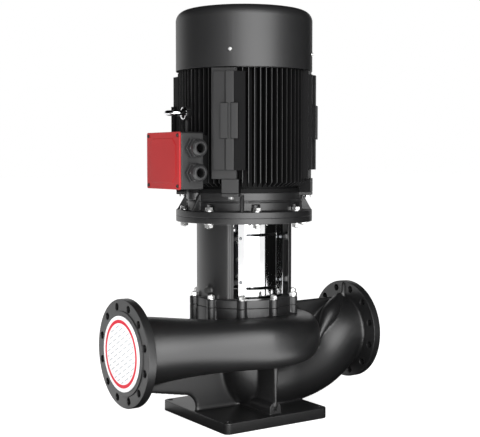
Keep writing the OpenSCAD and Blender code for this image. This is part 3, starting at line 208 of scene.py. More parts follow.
def ease(a, b, t):
    """Runs from a to b as t runs from 0 to 1, and starts and ends softly."""
    return a + (b - a) * (3 - 2 * t) * t * t


def bezier(p, t):
    return p[0] * (1 - t) ** 3 + p[1] * 3 * t * (1 - t) ** 2 + p[2] * 3 * t * t * (1 - t) + p[3] * t**3


def slope(p, t):
    d = (p[1] - p[0]) * (1 - t) ** 2 + (p[2] - p[1]) * 2 * t * (1 - t) + (p[3] - p[2]) * t * t
    return d.normalized()


def section(centre, side, up, a, b, power=2.0, sides=64):
    """A ring of points round a centre: an ellipse, and squarer the higher the power is."""
    ring = []
    for i in range(sides):
        angle = 2 * math.pi * (i + 0.5) / sides
        c, s = math.cos(angle), math.sin(angle)
        ring.append(centre + side * a * math.copysign(abs(c) ** (2 / power), c)
                    + up * b * math.copysign(abs(s) ** (2 / power), s))
    return ring


def mesh_object(name, bm):
    mesh = bpy.data.meshes.new(name)
    bm.to_mesh(mesh)
    bm.free()
    return placed(name, mesh)


def closed_mesh(name, bm):
    bmesh.ops.remove_doubles(bm, verts=bm.verts, dist=1e-7)
    bmesh.ops.recalc_face_normals(bm, faces=bm.faces)
    return mesh_object(name, bm)


def loft(name, rings):
    """A closed skin over rings that have the same number of points."""
    bm = bmesh.new()
    rows = [[bm.verts.new(p) for p in ring] for ring in rings]
    for row, after in zip(rows, rows[1:]):
        for i in range(len(row)):
            j = (i + 1) % len(row)
            bm.faces.new((row[i], row[j], after[j], after[i]))
    bm.faces.new(rows[0][::-1])
    bm.faces.new(rows[-1])
    return closed_mesh(name, bm)


def lathe(name, profile, along="Z", centre=(0, 0, 0), segments=96):
    """Turns (height, radius) pairs round an axis; the first and the last pair may lie on it."""
    axis = {"X": Matrix.Rotation(math.radians(90), 3, "Y"), "Z": Matrix.Identity(3)}[along]
    angles = [2 * math.pi * i / segments for i in range(segments)]
    bm = bmesh.new()
    rows = []
    for h, r in profile:
        if r < 1e-6:
            spots = [Vector((0, 0, h))]
        else:
            spots = [Vector((r * math.cos(a), r * math.sin(a), h)) for a in angles]
        rows.append([bm.verts.new(axis @ spot + Vector(centre)) for spot in spots])
    pairs = list(zip(rows, rows[1:]))
    if len(rows[0]) > 1:
        pairs.append((rows[-1], rows[0]))
    for row, after in pairs:
        for i in range(segments):
            j = (i + 1) % segments
            quad = [row[i % len(row)], row[j % len(row)], after[j % len(after)], after[i % len(after)]]
            quad = [v for k, v in enumerate(quad) if v not in quad[:k]]
            if len(quad) > 2:
                bm.faces.new(quad)
    return closed_mesh(name, bm)


def plate(name, outline, low, high, across="Y"):
    """A flat outline given a thickness: x and z pairs across Y, or x and y pairs across Z."""
    bm = bmesh.new()
    place = (lambda a, b, t: (a, t, b)) if across == "Y" else (lambda a, b, t: (a, b, t))
    rows = [[bm.verts.new(place(a, b, t)) for a, b in outline] for t in (low, high)]
    for i in range(len(outline)):
        j = (i + 1) % len(outline)
        bm.faces.new((rows[0][i], rows[0][j], rows[1][j], rows[1][i]))
    bm.faces.new(rows[0][::-1])
    bm.faces.new(rows[1])
    return closed_mesh(name, bm)


def bake(obj):
    """Turns the modifiers of a piece into its plain mesh."""
    graph = bpy.context.evaluated_depsgraph_get()
    mesh = bpy.data.meshes.new_from_object(obj.evaluated_get(graph))
    old = obj.data
    obj.modifiers.clear()
    obj.data = mesh
    bpy.data.meshes.remove(old)
    return obj


def combine(obj, operation, *tools):
    """Joins, cuts or intersects a piece with others, which are used up."""
    for tool in tools:
        mod = obj.modifiers.new("cut", "BOOLEAN")
        mod.operation = operation
        mod.solver = "MANIFOLD"
        mod.object = tool
    bake(obj)
    for tool in tools:
        bpy.data.objects.remove(tool)
    return obj


def join(name, parts):
    bm = bmesh.new()
    for part in parts:
        bm.from_mesh(part.data)
        bpy.data.objects.remove(part)
    return mesh_object(name, bm)


def cast(skin, voxel, rounds):
    """Melts the parts of a casting into one skin and rounds the corners between them."""
    remesh = skin.modifiers.new("cast", "REMESH")
    remesh.mode = "VOXEL"
    remesh.voxel_size = voxel
    skin.modifiers.new("soften", "SMOOTH").iterations = rounds
    return bake(skin)


def volute_reach(angle):
    """How far the volute's outer wall stands from the pump's axis, which grows with each turn."""
    return 0.179 + 0.140 * (TONGUE_ANGLE - angle) / 360


def volute_half(angle):
    """Half the width and half the height of the volute's section."""
    t = (TONGUE_ANGLE - angle) / (TONGUE_ANGLE - THROAT_ANGLE)
    return ease(0.040, 0.073, t), ease(0.054, 0.079, t)


def volute_rings(wall, stretch, steps=64, sides=64):
    """Sections from the tongue round to the throat, and on along the discharge pipe."""
    start = TONGUE_ANGLE - (5 if wall else 0)
    rings = []
    for i in range(steps + 1):
        angle = start + (THROAT_ANGLE - start) * i / steps
        a, b = volute_half(angle)
        c, s = math.cos(math.radians(angle)), math.sin(math.radians(angle))
        r = volute_reach(angle) - a
        rings.append(section(Vector((r * c, r * s, VOLUTE_Z)), Vector((c, s, 0)), UP,
                             a - wall, b - wall, VOLUTE_SQUARENESS, sides))
    a, b = volute_half(THROAT_ANGLE)
    r = volute_reach(THROAT_ANGLE) - a
    path = [Vector((r * c, r * s, VOLUTE_Z)), Vector((r * c + 0.130 * s, r * s - 0.130 * c, VOLUTE_Z)),
            Vector((-0.290, 0, PIPE_Z)), Vector((-0.430, 0, PIPE_Z))]
    end_r = BORE_R if wall else PIPE_R
    for i in range(1, steps // 2 + 1):
        t = i / (steps // 2)
        d = slope(path, t)
        side = Vector((-d.y, d.x, 0)).normalized()
        rings.append(section(bezier(path, t) + Vector((-stretch * t, 0, 0)), side, UP,
                             ease(a - wall, end_r, t), ease(b - wall, end_r, t**1.5),
                             ease(VOLUTE_SQUARENESS, 2, t), sides))
    return rings


def elbow_rings(bends, radii, steps=40, sides=64):
    """Round sections along the bends, with a radius at each end of each bend."""
    rings = []
    for path, (r0, r1) in zip(bends, zip(radii, radii[1:])):
        for i in range(0 if not rings else 1, steps + 1):
            t = i / steps
            d = slope(path, t)
            r = ease(r0, r1, t)
            across = Vector((d.z, 0, -d.x))
            rings.append(section(bezier(path, t), Vector((0, -1, 0)), across, r, r, sides=sides))
    return rings


def points(*rows):
    return [Vector(row) for row in rows]


elbow_outside = [points((0.430, 0, 0.250), (0.330, 0, 0.250), (0.387, 0, 0.145), (0.150, 0, 0.123)),
                 points((0.150, 0, 0.123), (0.062, 0, 0.099), (0, 0, 0.103), (0, 0, 0.199))]
elbow_inside = [points((0.437, 0, 0.250), (0.325, 0, 0.250), (0.275, 0, 0.116), (0.150, 0, 0.104)),
                points((0.150, 0, 0.104), (0.070, 0, 0.098), (0, 0, 0.104), (0, 0, 0.206))]


def shoulder_rings(steps=16, sides=32):
    """The rounded shoulder that runs down from the upper web, between the volute and the elbow."""
    path = points((0.402, -0.008, 0.372), (0.350, -0.048, 0.354),
                  (0.297, -0.076, 0.330), (0.238, -0.082, 0.222))
    rings = []
    for i in range(steps + 1):
        t = i / steps
        d = slope(path, t)
        side = d.cross(UP).normalized()
        r = ease(0.012, 0.027, min(1, 1.6 * t)) * ease(1, 0.35, max(0, 2 * t - 1))
        rings.append(section(bezier(path, t), side, side.cross(d), r * 1.15, r, sides=sides))
    return rings


def ring_outline(inset, steps=720, fillet=0.002):
    """The round joint face with its stud bosses, with a small fillet on both sides of each boss."""
    pitch = 360 / STUD_COUNT
    outline = []
    for i in range(steps):
        angle = 2 * math.pi * i / steps
        turn = math.radians((math.degrees(angle) - STUD_START + pitch / 2) % pitch - pitch / 2)
        off = STUD_R * math.sin(turn)
        r = RING_R
        if abs(off) < STUD_BOSS_R:
            tip = STUD_R * math.cos(turn) + math.sqrt(STUD_BOSS_R**2 - off**2)
            r = max(RING_R, tip) + fillet * math.log(1 + math.exp(-abs(tip - RING_R) / fillet))
        outline.append(((r - inset) * math.cos(angle), (r - inset) * math.sin(angle)))
    return outline


def first_edge(at, size):
    """A rounded edge at the start of a piece, as places and how far the side is set back there."""
    return [(at, size), (at + size * 0.3, size * 0.3), (at + size, 0)]


def last_edge(at, size):
    return [(at - size, 0), (at - size * 0.3, size * 0.3), (at, size)]


def ring_block(name, steps, inset=0):
    """The ring with its bosses, as a stack of outlines at the heights and insets given."""
    return loft(name, [[Vector((x, y, z)) for x, y in ring_outline(inset + e)] for z, e in steps])


def rounded_plan(half, radius, inset, steps=8):
    outline = []
    for k in range(4):
        cx, cy = [(1, 1), (-1, 1), (-1, -1), (1, -1)][k]
        for i in range(steps + 1):
            a = math.radians(90 * k + 90 * i / steps)
            outline.append((cx * (half - radius) + (radius - inset) * math.cos(a),
                            cy * (half - radius) + (radius - inset) * math.sin(a)))
    return outline


def base_block(name, z0, z1, inset, edge):
    steps = [(z0, edge * 0.5), (z0 + edge * 0.5, 0)] + last_edge(z1, edge)
    return loft(name, [[Vector((x, y, z)) for x, y in rounded_plan(BASE_HALF, BASE_CORNER_R, inset + e)]
                       for z, e in steps])


def pipe_flange(name, side, inset, edge):
    """One pipe flange with its raised face. side is 1 for suction and -1 for discharge."""
    back, face, raised = FLANGE_BACK + inset, FLANGE_FACE - inset, HALF_LENGTH - inset
    rim = [(h, FLANGE_R - inset - e) for h, e in first_edge(back, edge) + last_edge(face, edge)]
    step = 0.0005
    profile = [(back, 0)] + rim + [(face, RAISED_R + step), (face + step, RAISED_R),
                                   (raised - step, RAISED_R), (raised, RAISED_R - step), (raised, 0)]
    return lathe(name, [(side * h, r) for h, r in profile], "X", (0, 0, PIPE_Z), 128)


lower_web = [(-0.430, 0.127), (-0.235, 0.092)]
lower_web += [(-0.235 + 0.045 * math.sin(math.radians(a)), 0.047 + 0.045 * math.cos(math.radians(a)))
              for a in range(10, 91, 10)]
lower_web += [(-0.190, 0.030), (0, 0.030), (0, 0.205), (-0.240, 0.205), (-0.430, 0.250)]
upper_web = [(0.155, 0.327), (0.155, 0.365), (0.413, 0.369), (0.417, 0.413), (0.428, 0.415), (0.428, 0.250),
             (0.219, 0.292)]
leg = [(-0.005, 0.055), (0.005, 0.055), (0.011, 0.208), (-0.009, 0.208)]


def ridge_outline(r):
    """The ridge under the leg holds the drain plug: a half round that stands on the base."""
    arc = [(r * math.cos(math.radians(a)), RIDGE_Z + r * math.sin(math.radians(a)))
           for a in range(0, 181, 10)]
    return arc + [(-r, 0.028), (r, 0.028)]


def ridge_block(y0, y1, edge):
    steps = first_edge(y0, edge) + [(y1, 0)]
    return loft("ridge", [[Vector((x, y, z)) for x, z in ridge_outline(RIDGE_R - e)] for y, e in steps])


# The cast skin comes first. It stands back a little where a machined face is joined on after it.
skin = join("casing", [
    loft("volute", volute_rings(0, 0)),
    loft("elbow", elbow_rings(elbow_outside, (PIPE_R, 0.108, 0.092))),
    loft("shoulder", shoulder_rings()),
    lathe("core", [(0.222, 0), (0.222, 0.157), (0.300, 0.157), (0.300, 0)]),
    ring_block("ring", [(0.290, 0)] + last_edge(0.3745, CAST_EDGE), 0.0028),
    base_block("slab", 0.004, 0.0340, 0.003, 0.002),
    pipe_flange("flange_in", 1, 0.0012, CAST_EDGE),
    pipe_flange("flange_out", -1, 0.0012, CAST_EDGE),
    plate("web", lower_web, -WEB_HALF_T, WEB_HALF_T),
    plate("web", upper_web, -WEB_HALF_T, WEB_HALF_T),
    plate("leg", leg, -0.187, -0.040),
    plate("ridge", ridge_outline(RIDGE_R - 0.0015), -0.180, -0.020)])
cast(skin, voxel=0.0041, rounds=16)
combine(skin, "UNION", pipe_flange("flange_in", 1, 0, 0.0018), pipe_flange("flange_out", -1, 0, 0.0018),
        base_block("base", 0, BASE_T, 0, 0.0025),
        ring_block("ring", [(0.300, 0)] + last_edge(RING_Z, JOINT_EDGE)),
        ridge_block(-0.182, -0.070, 0.0015))

base_hole = [(-0.005, 0), (-0.005, BASE_HOLE_R), (BASE_T - 0.0012, BASE_HOLE_R), (BASE_T + 0.001, 0.0112),
             (BASE_T + 0.001, 0)]
flange_hole = [(0.423, 0), (0.423, 0.0135), (0.426, FLANGE_HOLE_R), (0.451, FLANGE_HOLE_R), (0.453, 0.0135),
               (0.453, 0)]
port = [(0.427, 0), (0.427, 0.100), (0.4545, 0.100), (0.456, 0.1015), (0.456, 0)]
holes = [lathe("hole", base_hole, "Z", (x, y, 0), 48)
         for x in (-BASE_HOLES_AT, BASE_HOLES_AT) for y in (-BASE_HOLES_AT, BASE_HOLES_AT)]
for side in (-1, 1):
    for i in range(FLANGE_HOLES):
        a = 2 * math.pi * (i + 0.5) / FLANGE_HOLES
        spot = (0, FLANGE_HOLES_AT * math.cos(a), PIPE_Z + FLANGE_HOLES_AT * math.sin(a))
        holes.append(lathe("hole", [(side * h, r) for h, r in flange_hole], "X", spot, 40))
    holes.append(lathe("bore", [(side * h, r) for h, r in port], "X", (0, 0, PIPE_Z), 128))
holes.append(lathe("stud_seat", [(0.360, 0), (0.360, 0.158), (0.380, 0.158), (0.380, 0)]))
chamber = [(0.194, 0), (0.194, 0.0814), (0.214, 0.0814), (0.214, 0.1014), (0.238, 0.1014), (0.238, 0.118),
           (0.242, 0.153), (0.350, 0.153), (0.350, 0.150), (0.352, 0.150), (0.352, 0.1582), (0.380, 0.1582),
           (0.380, 0)]
combine(skin, "DIFFERENCE", join("holes", holes),
        loft("passage", volute_rings(CASTING_WALL, 0.008, 32, 48)),
        loft("passage", elbow_rings(elbow_inside, (BORE_R, 0.080, 0.081), 20, 48)),
        lathe("chamber", chamber))


def new_group(name, *inputs):
    """A group of shader nodes that gives a colour, a roughness and a normal."""
    tree = bpy.data.node_groups.new(name, "ShaderNodeTree")
    for label, value in inputs:
        kind = "NodeSocketColor" if isinstance(value, tuple) else "NodeSocketFloat"
        tree.interface.new_socket(label, in_out="INPUT", socket_type=kind).default_value = value
    for label, kind in (("Colour", "Color"), ("Roughness", "Float"), ("Normal", "Vector")):
        tree.interface.new_socket(label, in_out="OUTPUT", socket_type="NodeSocket" + kind)
    return tree, tree.nodes.new("NodeGroupInput"), tree.nodes.new("NodeGroupOutput")


def shaded(nodes, links, colour, pattern, low, high):
    """A colour made darker and paler by a pattern, between two shares of itself."""
    shade = add(nodes, "ShaderNodeVectorMath", operation="SCALE")
    links.new(colour, shade.inputs[0])
    links.new(remap(nodes, links, pattern, 0, 1, low, high), shade.inputs["Scale"])
    return shade.outputs[0]


def uneven_gloss(nodes, links, given, pattern):
    centred = compute(nodes, links, "SUBTRACT", pattern, 0.5)
    return compute(nodes, links, "MULTIPLY_ADD", centred, given.outputs["Gloss Spread"],
                   given.outputs["Gloss Base"])


# The coat: sprayed enamel over sand-cast iron. The sand grain shows through as fine bumps, the
# gloss is uneven, and the coat is painted paler along the edges: partly rubbed paint, and partly a
# painted highlight where the rounded edges catch the light.
coat, given, result = new_group(
    "enamel_coat", ("Colour", (0.02, 0.02, 0.02, 1)), ("Edge Colour", (0.07, 0.07, 0.07, 1)),
    ("Gloss Base", 0.4), ("Gloss Spread", 0.12), ("Grain Scale", 320), ("Grain Depth", 0.00025),
    ("Edge Width", 0.002))
nodes, links = coat.nodes, coat.links
place = add(nodes, "ShaderNodeTexCoord")
cloud = add(nodes, "ShaderNodeTexNoise", in_2=7.0, in_3=4.0)
grain = add(nodes, "ShaderNodeTexNoise", in_3=2.0)
rub_and_sheen = add(nodes, "ShaderNodeTexNoise", in_2=45.0, in_3=3.0)
for noise in (cloud, grain, rub_and_sheen):
    links.new(place.outputs["Object"], noise.inputs["Vector"])
links.new(given.outputs["Grain Scale"], grain.inputs["Scale"])
rounded = add(nodes, "ShaderNodeBevel", samples=4)
links.new(given.outputs["Edge Width"], rounded.inputs["Radius"])
face = add(nodes, "ShaderNodeNewGeometry")
flatness = add(nodes, "ShaderNodeVectorMath", operation="DOT_PRODUCT")
links.new(rounded.outputs[0], flatness.inputs[0])
links.new(face.outputs["Normal"], flatness.inputs[1])
# Paler edge colour, broken up by noise: partly rubbed paint, partly a painted highlight on the edges.
edge = remap(nodes, links, flatness.outputs["Value"], 0.97, 0.80)
patchy = remap(nodes, links, rub_and_sheen.outputs["Fac"], 0.35, 0.65)
paint = add(nodes, "ShaderNodeMix", data_type="RGBA")
links.new(compute(nodes, links, "MULTIPLY", edge, patchy), paint.inputs["Factor"])
links.new(shaded(nodes, links, given.outputs["Colour"], cloud.outputs["Fac"], 0.82, 1.18), paint.inputs[6])
links.new(given.outputs["Edge Colour"], paint.inputs[7])
links.new(paint.outputs[2], result.inputs["Colour"])
links.new(uneven_gloss(nodes, links, given, cloud.outputs["Fac"]), result.inputs["Roughness"])
bumps = add(nodes, "ShaderNodeBump")
links.new(given.outputs["Grain Depth"], bumps.inputs["Distance"])
links.new(grain.outputs["Fac"], bumps.inputs["Height"])
links.new(rounded.outputs[0], bumps.inputs["Normal"])
links.new(bumps.outputs[0], result.inputs["Normal"])


def material_of(name, group, values, label, amount):
    """A material that takes its look from a group, with one more setting of the shader."""
    mat, nodes, links = new_material(name)
    look = add(nodes, "ShaderNodeGroup", node_tree=group)
    for socket, value in zip(look.inputs, values):
        socket.default_value = value
    shader = add(nodes, "ShaderNodeBsdfPrincipled")
    shader.inputs[label].default_value = amount
    for part, socket in (("Colour", "Base Color"), ("Roughness", "Roughness"), ("Normal", "Normal")):
        links.new(look.outputs[part], shader.inputs[socket])
    links.new(shader.outputs[0], add(nodes, "ShaderNodeOutputMaterial").inputs[0])
    return mat


def enamel(name, colour, edge_colour, gloss, spread, grain_scale, depth, edge_width, specular=0.5):
    """A painted finish, with the shared coat set for one kind of surface."""
    values = ((*colour, 1), (*edge_colour, 1), gloss, spread, grain_scale, depth, edge_width)
    return material_of(name, coat, values, "Specular IOR Level", specular)


cast_enamel = enamel("cast_enamel", (0.007, 0.007, 0.0073), (0.05, 0.05, 0.052), 0.4, 0.12, 320, 0.00022,
                     0.0025, 0.7)


def dress(piece, name, mat, body, slot, *stands_for, angle=38):
    """Gives a finished piece its name, finish, shading and body, and hides what it stands for."""
    mesh = piece.data
    piece.name = mesh.name = name
    mesh.materials.clear()
    mesh.materials.append(mat)
    mesh.polygons.foreach_set("material_index", [0] * len(mesh.polygons))
    mesh.polygons.foreach_set("use_smooth", [True] * len(mesh.polygons))
    mesh.set_sharp_from_angle(angle=math.radians(angle))
    piece.modifiers.new("even_shading", "WEIGHTED_NORMAL").keep_sharp = True
    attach(piece, body)
    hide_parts(*stands_for)
    return piece


dress(skin, "volute_casting", cast_enamel, "frame", "black_paint", "pump_casing")


# Edges
# Most of the other parts are turned, cast or moulded pieces with edges broken by a small radius.
# The CAD mesh is copied, its triangles are merged into faces and the sharp edges are rounded.
def softened(node, name, width, mat, body, slot, angle=28, segments=2):
    """A CAD node's mesh with its sharp edges rounded, dressed as a piece of its own."""
    bm = bmesh.new()
    bm.from_mesh(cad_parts[node].data)
    bmesh.ops.remove_doubles(bm, verts=bm.verts, dist=2e-5)
    bmesh.ops.dissolve_limit(bm, angle_limit=math.radians(1), verts=bm.verts, edges=bm.edges)
    sharp = [e for e in bm.edges if len(e.link_faces) == 2 and e.calc_face_angle(0) > math.radians(angle)]
    bmesh.ops.bevel(bm, geom=sharp, offset=width, offset_type="OFFSET", segments=segments, profile=0.5,
                    affect="EDGES", clamp_overlap=False)
    bmesh.ops.triangulate(bm, faces=[f for f in bm.faces if len(f.verts) > 4])
    return dress(mesh_object(name, bm), name, mat, body, slot, node)


# Wear ring, drain plug and gasket
# A bronze ring is pressed in round the impeller neck. A zinc-plated drain plug closes the foot
# ridge, and the joint to the cover is sealed by a black rubber gasket.

# The metal: fine marks run round the piece, and stains make its colour and gloss uneven.
metal, given, result = new_group(
    "turned_metal", ("Colour", (0.6, 0.6, 0.6, 1)), ("Gloss Base", 0.3), ("Gloss Spread", 0.15),
    ("Mark Scale", 60), ("Mark Depth", 0.00004))
nodes, links = metal.nodes, metal.links
place = add(nodes, "ShaderNodeTexCoord")
stain = add(nodes, "ShaderNodeTexNoise", in_2=38.0, in_3=5.0)
links.new(place.outputs["Object"], stain.inputs["Vector"])
marks = add(nodes, "ShaderNodeTexNoise", in_3=4.0)
stretch = add(nodes, "ShaderNodeMapping")
stretch.inputs["Scale"].default_value = (1, 1, 12)
links.new(place.outputs["Object"], stretch.inputs["Vector"])
links.new(stretch.outputs[0], marks.inputs["Vector"])
links.new(given.outputs["Mark Scale"], marks.inputs["Scale"])
colour = shaded(nodes, links, given.outputs["Colour"], stain.outputs["Fac"], 0.78, 1.12)
links.new(colour, result.inputs["Colour"])
links.new(uneven_gloss(nodes, links, given, marks.outputs["Fac"]), result.inputs["Roughness"])
bumps = add(nodes, "ShaderNodeBump")
links.new(given.outputs["Mark Depth"], bumps.inputs["Distance"])
links.new(marks.outputs["Fac"], bumps.inputs["Height"])
links.new(bumps.outputs[0], result.inputs["Normal"])


def bare_metal(name, colour, gloss, spread, mark_scale=60, depth=0.00004, metallic=1.0):
    """An unpainted finish. metallic is 0 for rubber."""
    return material_of(name, metal, ((*colour, 1), gloss, spread, mark_scale, depth), "Metallic", metallic)


zinc = bare_metal("zinc_plate", (0.93, 0.93, 0.92), 0.34, 0.2)
bronze = bare_metal("bronze", (0.62, 0.42, 0.2), 0.35, 0.2)
rubber = bare_metal("black_rubber", (0.02, 0.02, 0.02), 0.7, 0.1, 300, 0.0001, 0.0)


def finish(mat, *node_names):
    """A CAD node whose shape is right keeps its mesh and takes the finish."""
    for node in node_names:
        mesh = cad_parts[node].data
        mesh.materials.clear()
        mesh.materials.append(mat)


finish(bronze, "casing_wear_ring")
finish(rubber, "casing_gasket")
softened("drain_plug", "drain_screw", 0.0008, zinc, "frame", "zinc_steel")

# Transit covers
# A white plastic disc with a turned rim closes each pipe bore until the pump is fitted. It has a
# printed red border and a faint pattern of short grey dashes that lean to the right.
print_mat, nodes, links = new_material("white_cover")
place = add(nodes, "ShaderNodeTexCoord")
parts = add(nodes, "ShaderNodeSeparateXYZ")
links.new(place.outputs["Object"], parts.inputs[0])
across = add(nodes, "ShaderNodeCombineXYZ")
links.new(parts.outputs["Y"], across.inputs["X"])
links.new(compute(nodes, links, "SUBTRACT", parts.outputs["Z"], PIPE_Z), across.inputs["Y"])
radius = add(nodes, "ShaderNodeVectorMath", operation="LENGTH")
links.new(across.outputs[0], radius.inputs[0])


def band(nodes, links, value, low, high, soft):
    """1 between low and high, with a soft step at each end."""
    up = remap(nodes, links, value, low - soft, low + soft)
    down = remap(nodes, links, value, high + soft, high - soft)
    return compute(nodes, links, "MULTIPLY", up, down)


border = band(nodes, links, radius.outputs["Value"], 0.0953, 0.1063, 0.0003)
middle = band(nodes, links, radius.outputs["Value"], -1, 0.092, 0.0005)
lean = add(nodes, "ShaderNodeMapping")
lean.inputs["Rotation"].default_value = (0, 0, math.radians(28))
links.new(across.outputs[0], lean.inputs["Vector"])
dash = add(nodes, "ShaderNodeTexBrick")
for label, value in (("Scale", 1.0), ("Brick Width", 0.036), ("Row Height", 0.0150), ("Mortar Size", 0.0057),
                     ("Mortar Smooth", 0.0), ("Color1", (1, 1, 1, 1)), ("Color2", (1, 1, 1, 1)),
                     ("Mortar", (0, 0, 0, 1))):
    dash.inputs[label].default_value = value
links.new(lean.outputs[0], dash.inputs["Vector"])
dashes = compute(nodes, links, "MULTIPLY", dash.outputs["Color"], middle)
faint = compute(nodes, links, "MULTIPLY", dashes, 0.75)
ground = add(nodes, "ShaderNodeMix", data_type="RGBA", in_6=(0.84, 0.84, 0.85, 1), in_7=(0.30, 0.31, 0.33, 1))
links.new(faint, ground.inputs["Factor"])
printed = add(nodes, "ShaderNodeMix", data_type="RGBA", in_7=(0.58, 0.0, 0.02, 1))
links.new(border, printed.inputs["Factor"])
links.new(ground.outputs[2], printed.inputs[6])
shader = add(nodes, "ShaderNodeBsdfPrincipled")
shader.inputs["Roughness"].default_value = 0.4
shader.inputs["Specular IOR Level"].default_value = 0.2
links.new(printed.outputs[2], shader.inputs["Base Color"])
links.new(shader.outputs[0], add(nodes, "ShaderNodeOutputMaterial").inputs[0])
softened("discharge_transit_cover", "discharge_disc", 0.0006, print_mat, "discharge_cover", "white_plastic")
softened("suction_transit_cover", "suction_disc", 0.0006, print_mat, "suction_cover", "white_plastic")


# Impeller, seal and pump shaft
# A bronze impeller is keyed to a stainless shaft and held by a nut. The mechanical seal is a
# sprung stainless head that runs on a fixed seat in the casing cover.
stainless = bare_metal("stainless", (0.78, 0.79, 0.8), 0.12, 0.08, 90, 0.00001)
core_steel = bare_metal("core_steel", (0.32, 0.33, 0.35), 0.4, 0.2)
finish(bronze, "impeller")
finish(zinc, "impeller_key")
finish(stainless, "impeller_nut", "pump_shaft", "seal_head", "seal_spring", "seal_collar")
finish(rubber, "seal_seat")
softened("casing_cover", "seal_cover", 0.002, cast_enamel, "frame", "black_paint")

# Motor bracket
# The lantern between casing and motor is cast in one piece: a foot ring with stud bosses, two
# pillars with a window between them, lugs for the guards and a round head for the motor.
FOOT_Z, HEAD_Z, MOTOR_Z = 0.404, 0.649, 0.667
BRACKET_R, BRACKET_BORE_R, WINDOW_HALF_W = 0.157, 0.130, 0.111
HEAD_R, HEAD_EDGE = 0.225, 0.0018
STEP_IN, STEP_FROM, STEP_WIDTH = 0.006, 0.85, 0.02
GUARD_Y, GUARD_SCREWS_Z, LUG_HALF_H = 0.097, (0.457, 0.598), 0.009
VENT_Z, VENT_TURN = 0.430, 191
SKIN_INSET = 0.0015


def pillar_plan(side, steps=90):
    """One pillar seen from above, with a narrow step down along both of its long edges."""
    out, back = math.acos(WINDOW_HALF_W / BRACKET_R), math.acos(WINDOW_HALF_W / BRACKET_BORE_R)
    turn = [1 - 2 * i / steps for i in range(steps + 1)]
    reach = [BRACKET_R - STEP_IN * ease(0, 1, min(1, max(0, (abs(t) - STEP_FROM) / STEP_WIDTH)))
             for t in turn]
    outer = [(side * r * math.cos(out * t), r * math.sin(out * t)) for r, t in zip(reach, turn)]
    inner = [(side * BRACKET_BORE_R * math.cos(back * t), -BRACKET_BORE_R * math.sin(back * t)) for t in turn]
    return outer + inner


def box_plan(x0, x1, y0, y1):
    return [(x0, y0), (x1, y0), (x1, y1), (x0, y1)]


def vent_lathe(name, profile, segments=96):
    """A turned form on the axis of the vent plug, on the discharge side."""
    form = lathe(name, profile, "X", (0, 0, VENT_Z), segments)
    form.data.transform(Matrix.Rotation(math.radians(VENT_TURN), 4, "Z"))
    return form


lantern = [plate("pillar", pillar_plan(side), 0.395, 0.655, "Z") for side in (-1, 1)]
for side in (-1, 1):
    for front in (-1, 1):
        lug = box_plan(side * 0.070, side * 0.113, front * 0.081, front * (GUARD_Y - 0.0002))
        lantern += [plate("lug", lug, z - LUG_HALF_H, z + LUG_HALF_H, "Z") for z in GUARD_SCREWS_Z]
lantern += [ring_block("foot", [(0.3805, 0)] + last_edge(0.4025, CAST_EDGE), 0.0028),
            lathe("head", [(HEAD_Z + SKIN_INSET, 0), (HEAD_Z + SKIN_INSET, HEAD_R - SKIN_INSET),
                           (MOTOR_Z - SKIN_INSET, HEAD_R - SKIN_INSET), (MOTOR_Z - SKIN_INSET, 0)]),
            vent_lathe("vent_boss", [(0.136, 0), (0.136, 0.013), (0.163, 0.013), (0.163, 0)])]
bracket = cast(join("bracket", lantern), voxel=0.0032, rounds=7)
head_rim = [(z, HEAD_R - e) for z, e in first_edge(HEAD_Z, HEAD_EDGE)]
combine(bracket, "UNION", ring_block("foot", first_edge(RING_Z, JOINT_EDGE) + last_edge(FOOT_Z, JOINT_EDGE)),
        lathe("head", [(HEAD_Z, 0)] + head_rim + [(MOTOR_Z - 0.0004, HEAD_R), (MOTOR_Z, HEAD_R - 0.0004),
                                                  (MOTOR_Z, 0)], segments=160))
combine(bracket, "DIFFERENCE",
        vent_lathe("plug_hole", [(0.120, 0), (0.120, 0.0075), (0.180, 0.0075), (0.180, 0)], 40),
        lathe("bore", [(0.370, 0), (0.370, BRACKET_BORE_R), (0.662, BRACKET_BORE_R), (0.662, 0.1751),
                       (0.680, 0.1751), (0.680, 0)], segments=160))
dress(bracket, "lantern_casting", cast_enamel, "frame", "black_paint", "motor_bracket")
softened("vent_plug", "vent_screw", 0.0008, rubber, "frame", "black_plastic")

# Bracket studs
# Ten zinc-plated studs are screwed into the casing, and their hexagon nuts with washers pull the
# bracket down on to it. The thread shows on the end that stands out of each nut.
NUT_AF, STUD_D, WASHER_T = 0.019, 0.012, 0.002


def hexagon(name, across_flats, low, high):
    """A hexagon whose corners are turned off at both ends."""
    r, face_r = across_flats / math.sqrt(3), across_flats / 2 * 0.96
    fall = (r - face_r) * 0.55
    clear_r = r + 0.0002
    plan = [(r * math.cos(math.radians(60 * i)), r * math.sin(math.radians(60 * i))) for i in range(6)]
    crown = lathe(name, [(low, 0), (low, face_r), (low + fall, clear_r), (high - fall, clear_r),
                         (high, face_r), (high, 0)], segments=48)
    return combine(plate(name, plan, low, high, "Z"), "INTERSECT", crown)


def washer(name, r, low, high, edge=0.0004):
    return lathe(name, [(low, 0), (low, r - edge), (low + edge, r), (high - edge, r), (high, r - edge),
                        (high, 0)], segments=40)


def threaded(name, d, low, high, thread_from, pitch):
    """A bar with ridges from thread_from up to its chamfered end."""
    profile = [(low, 0), (low, d / 2)]
    z = thread_from
    while z < high - pitch * 1.6:
        profile += [(z, d / 2), (z + pitch / 2, d / 2 - pitch * 0.45)]
        z += pitch
    profile += [(high - pitch * 1.2, d / 2), (high, d / 2 - pitch), (high, 0)]
    return lathe(name, profile, segments=40)


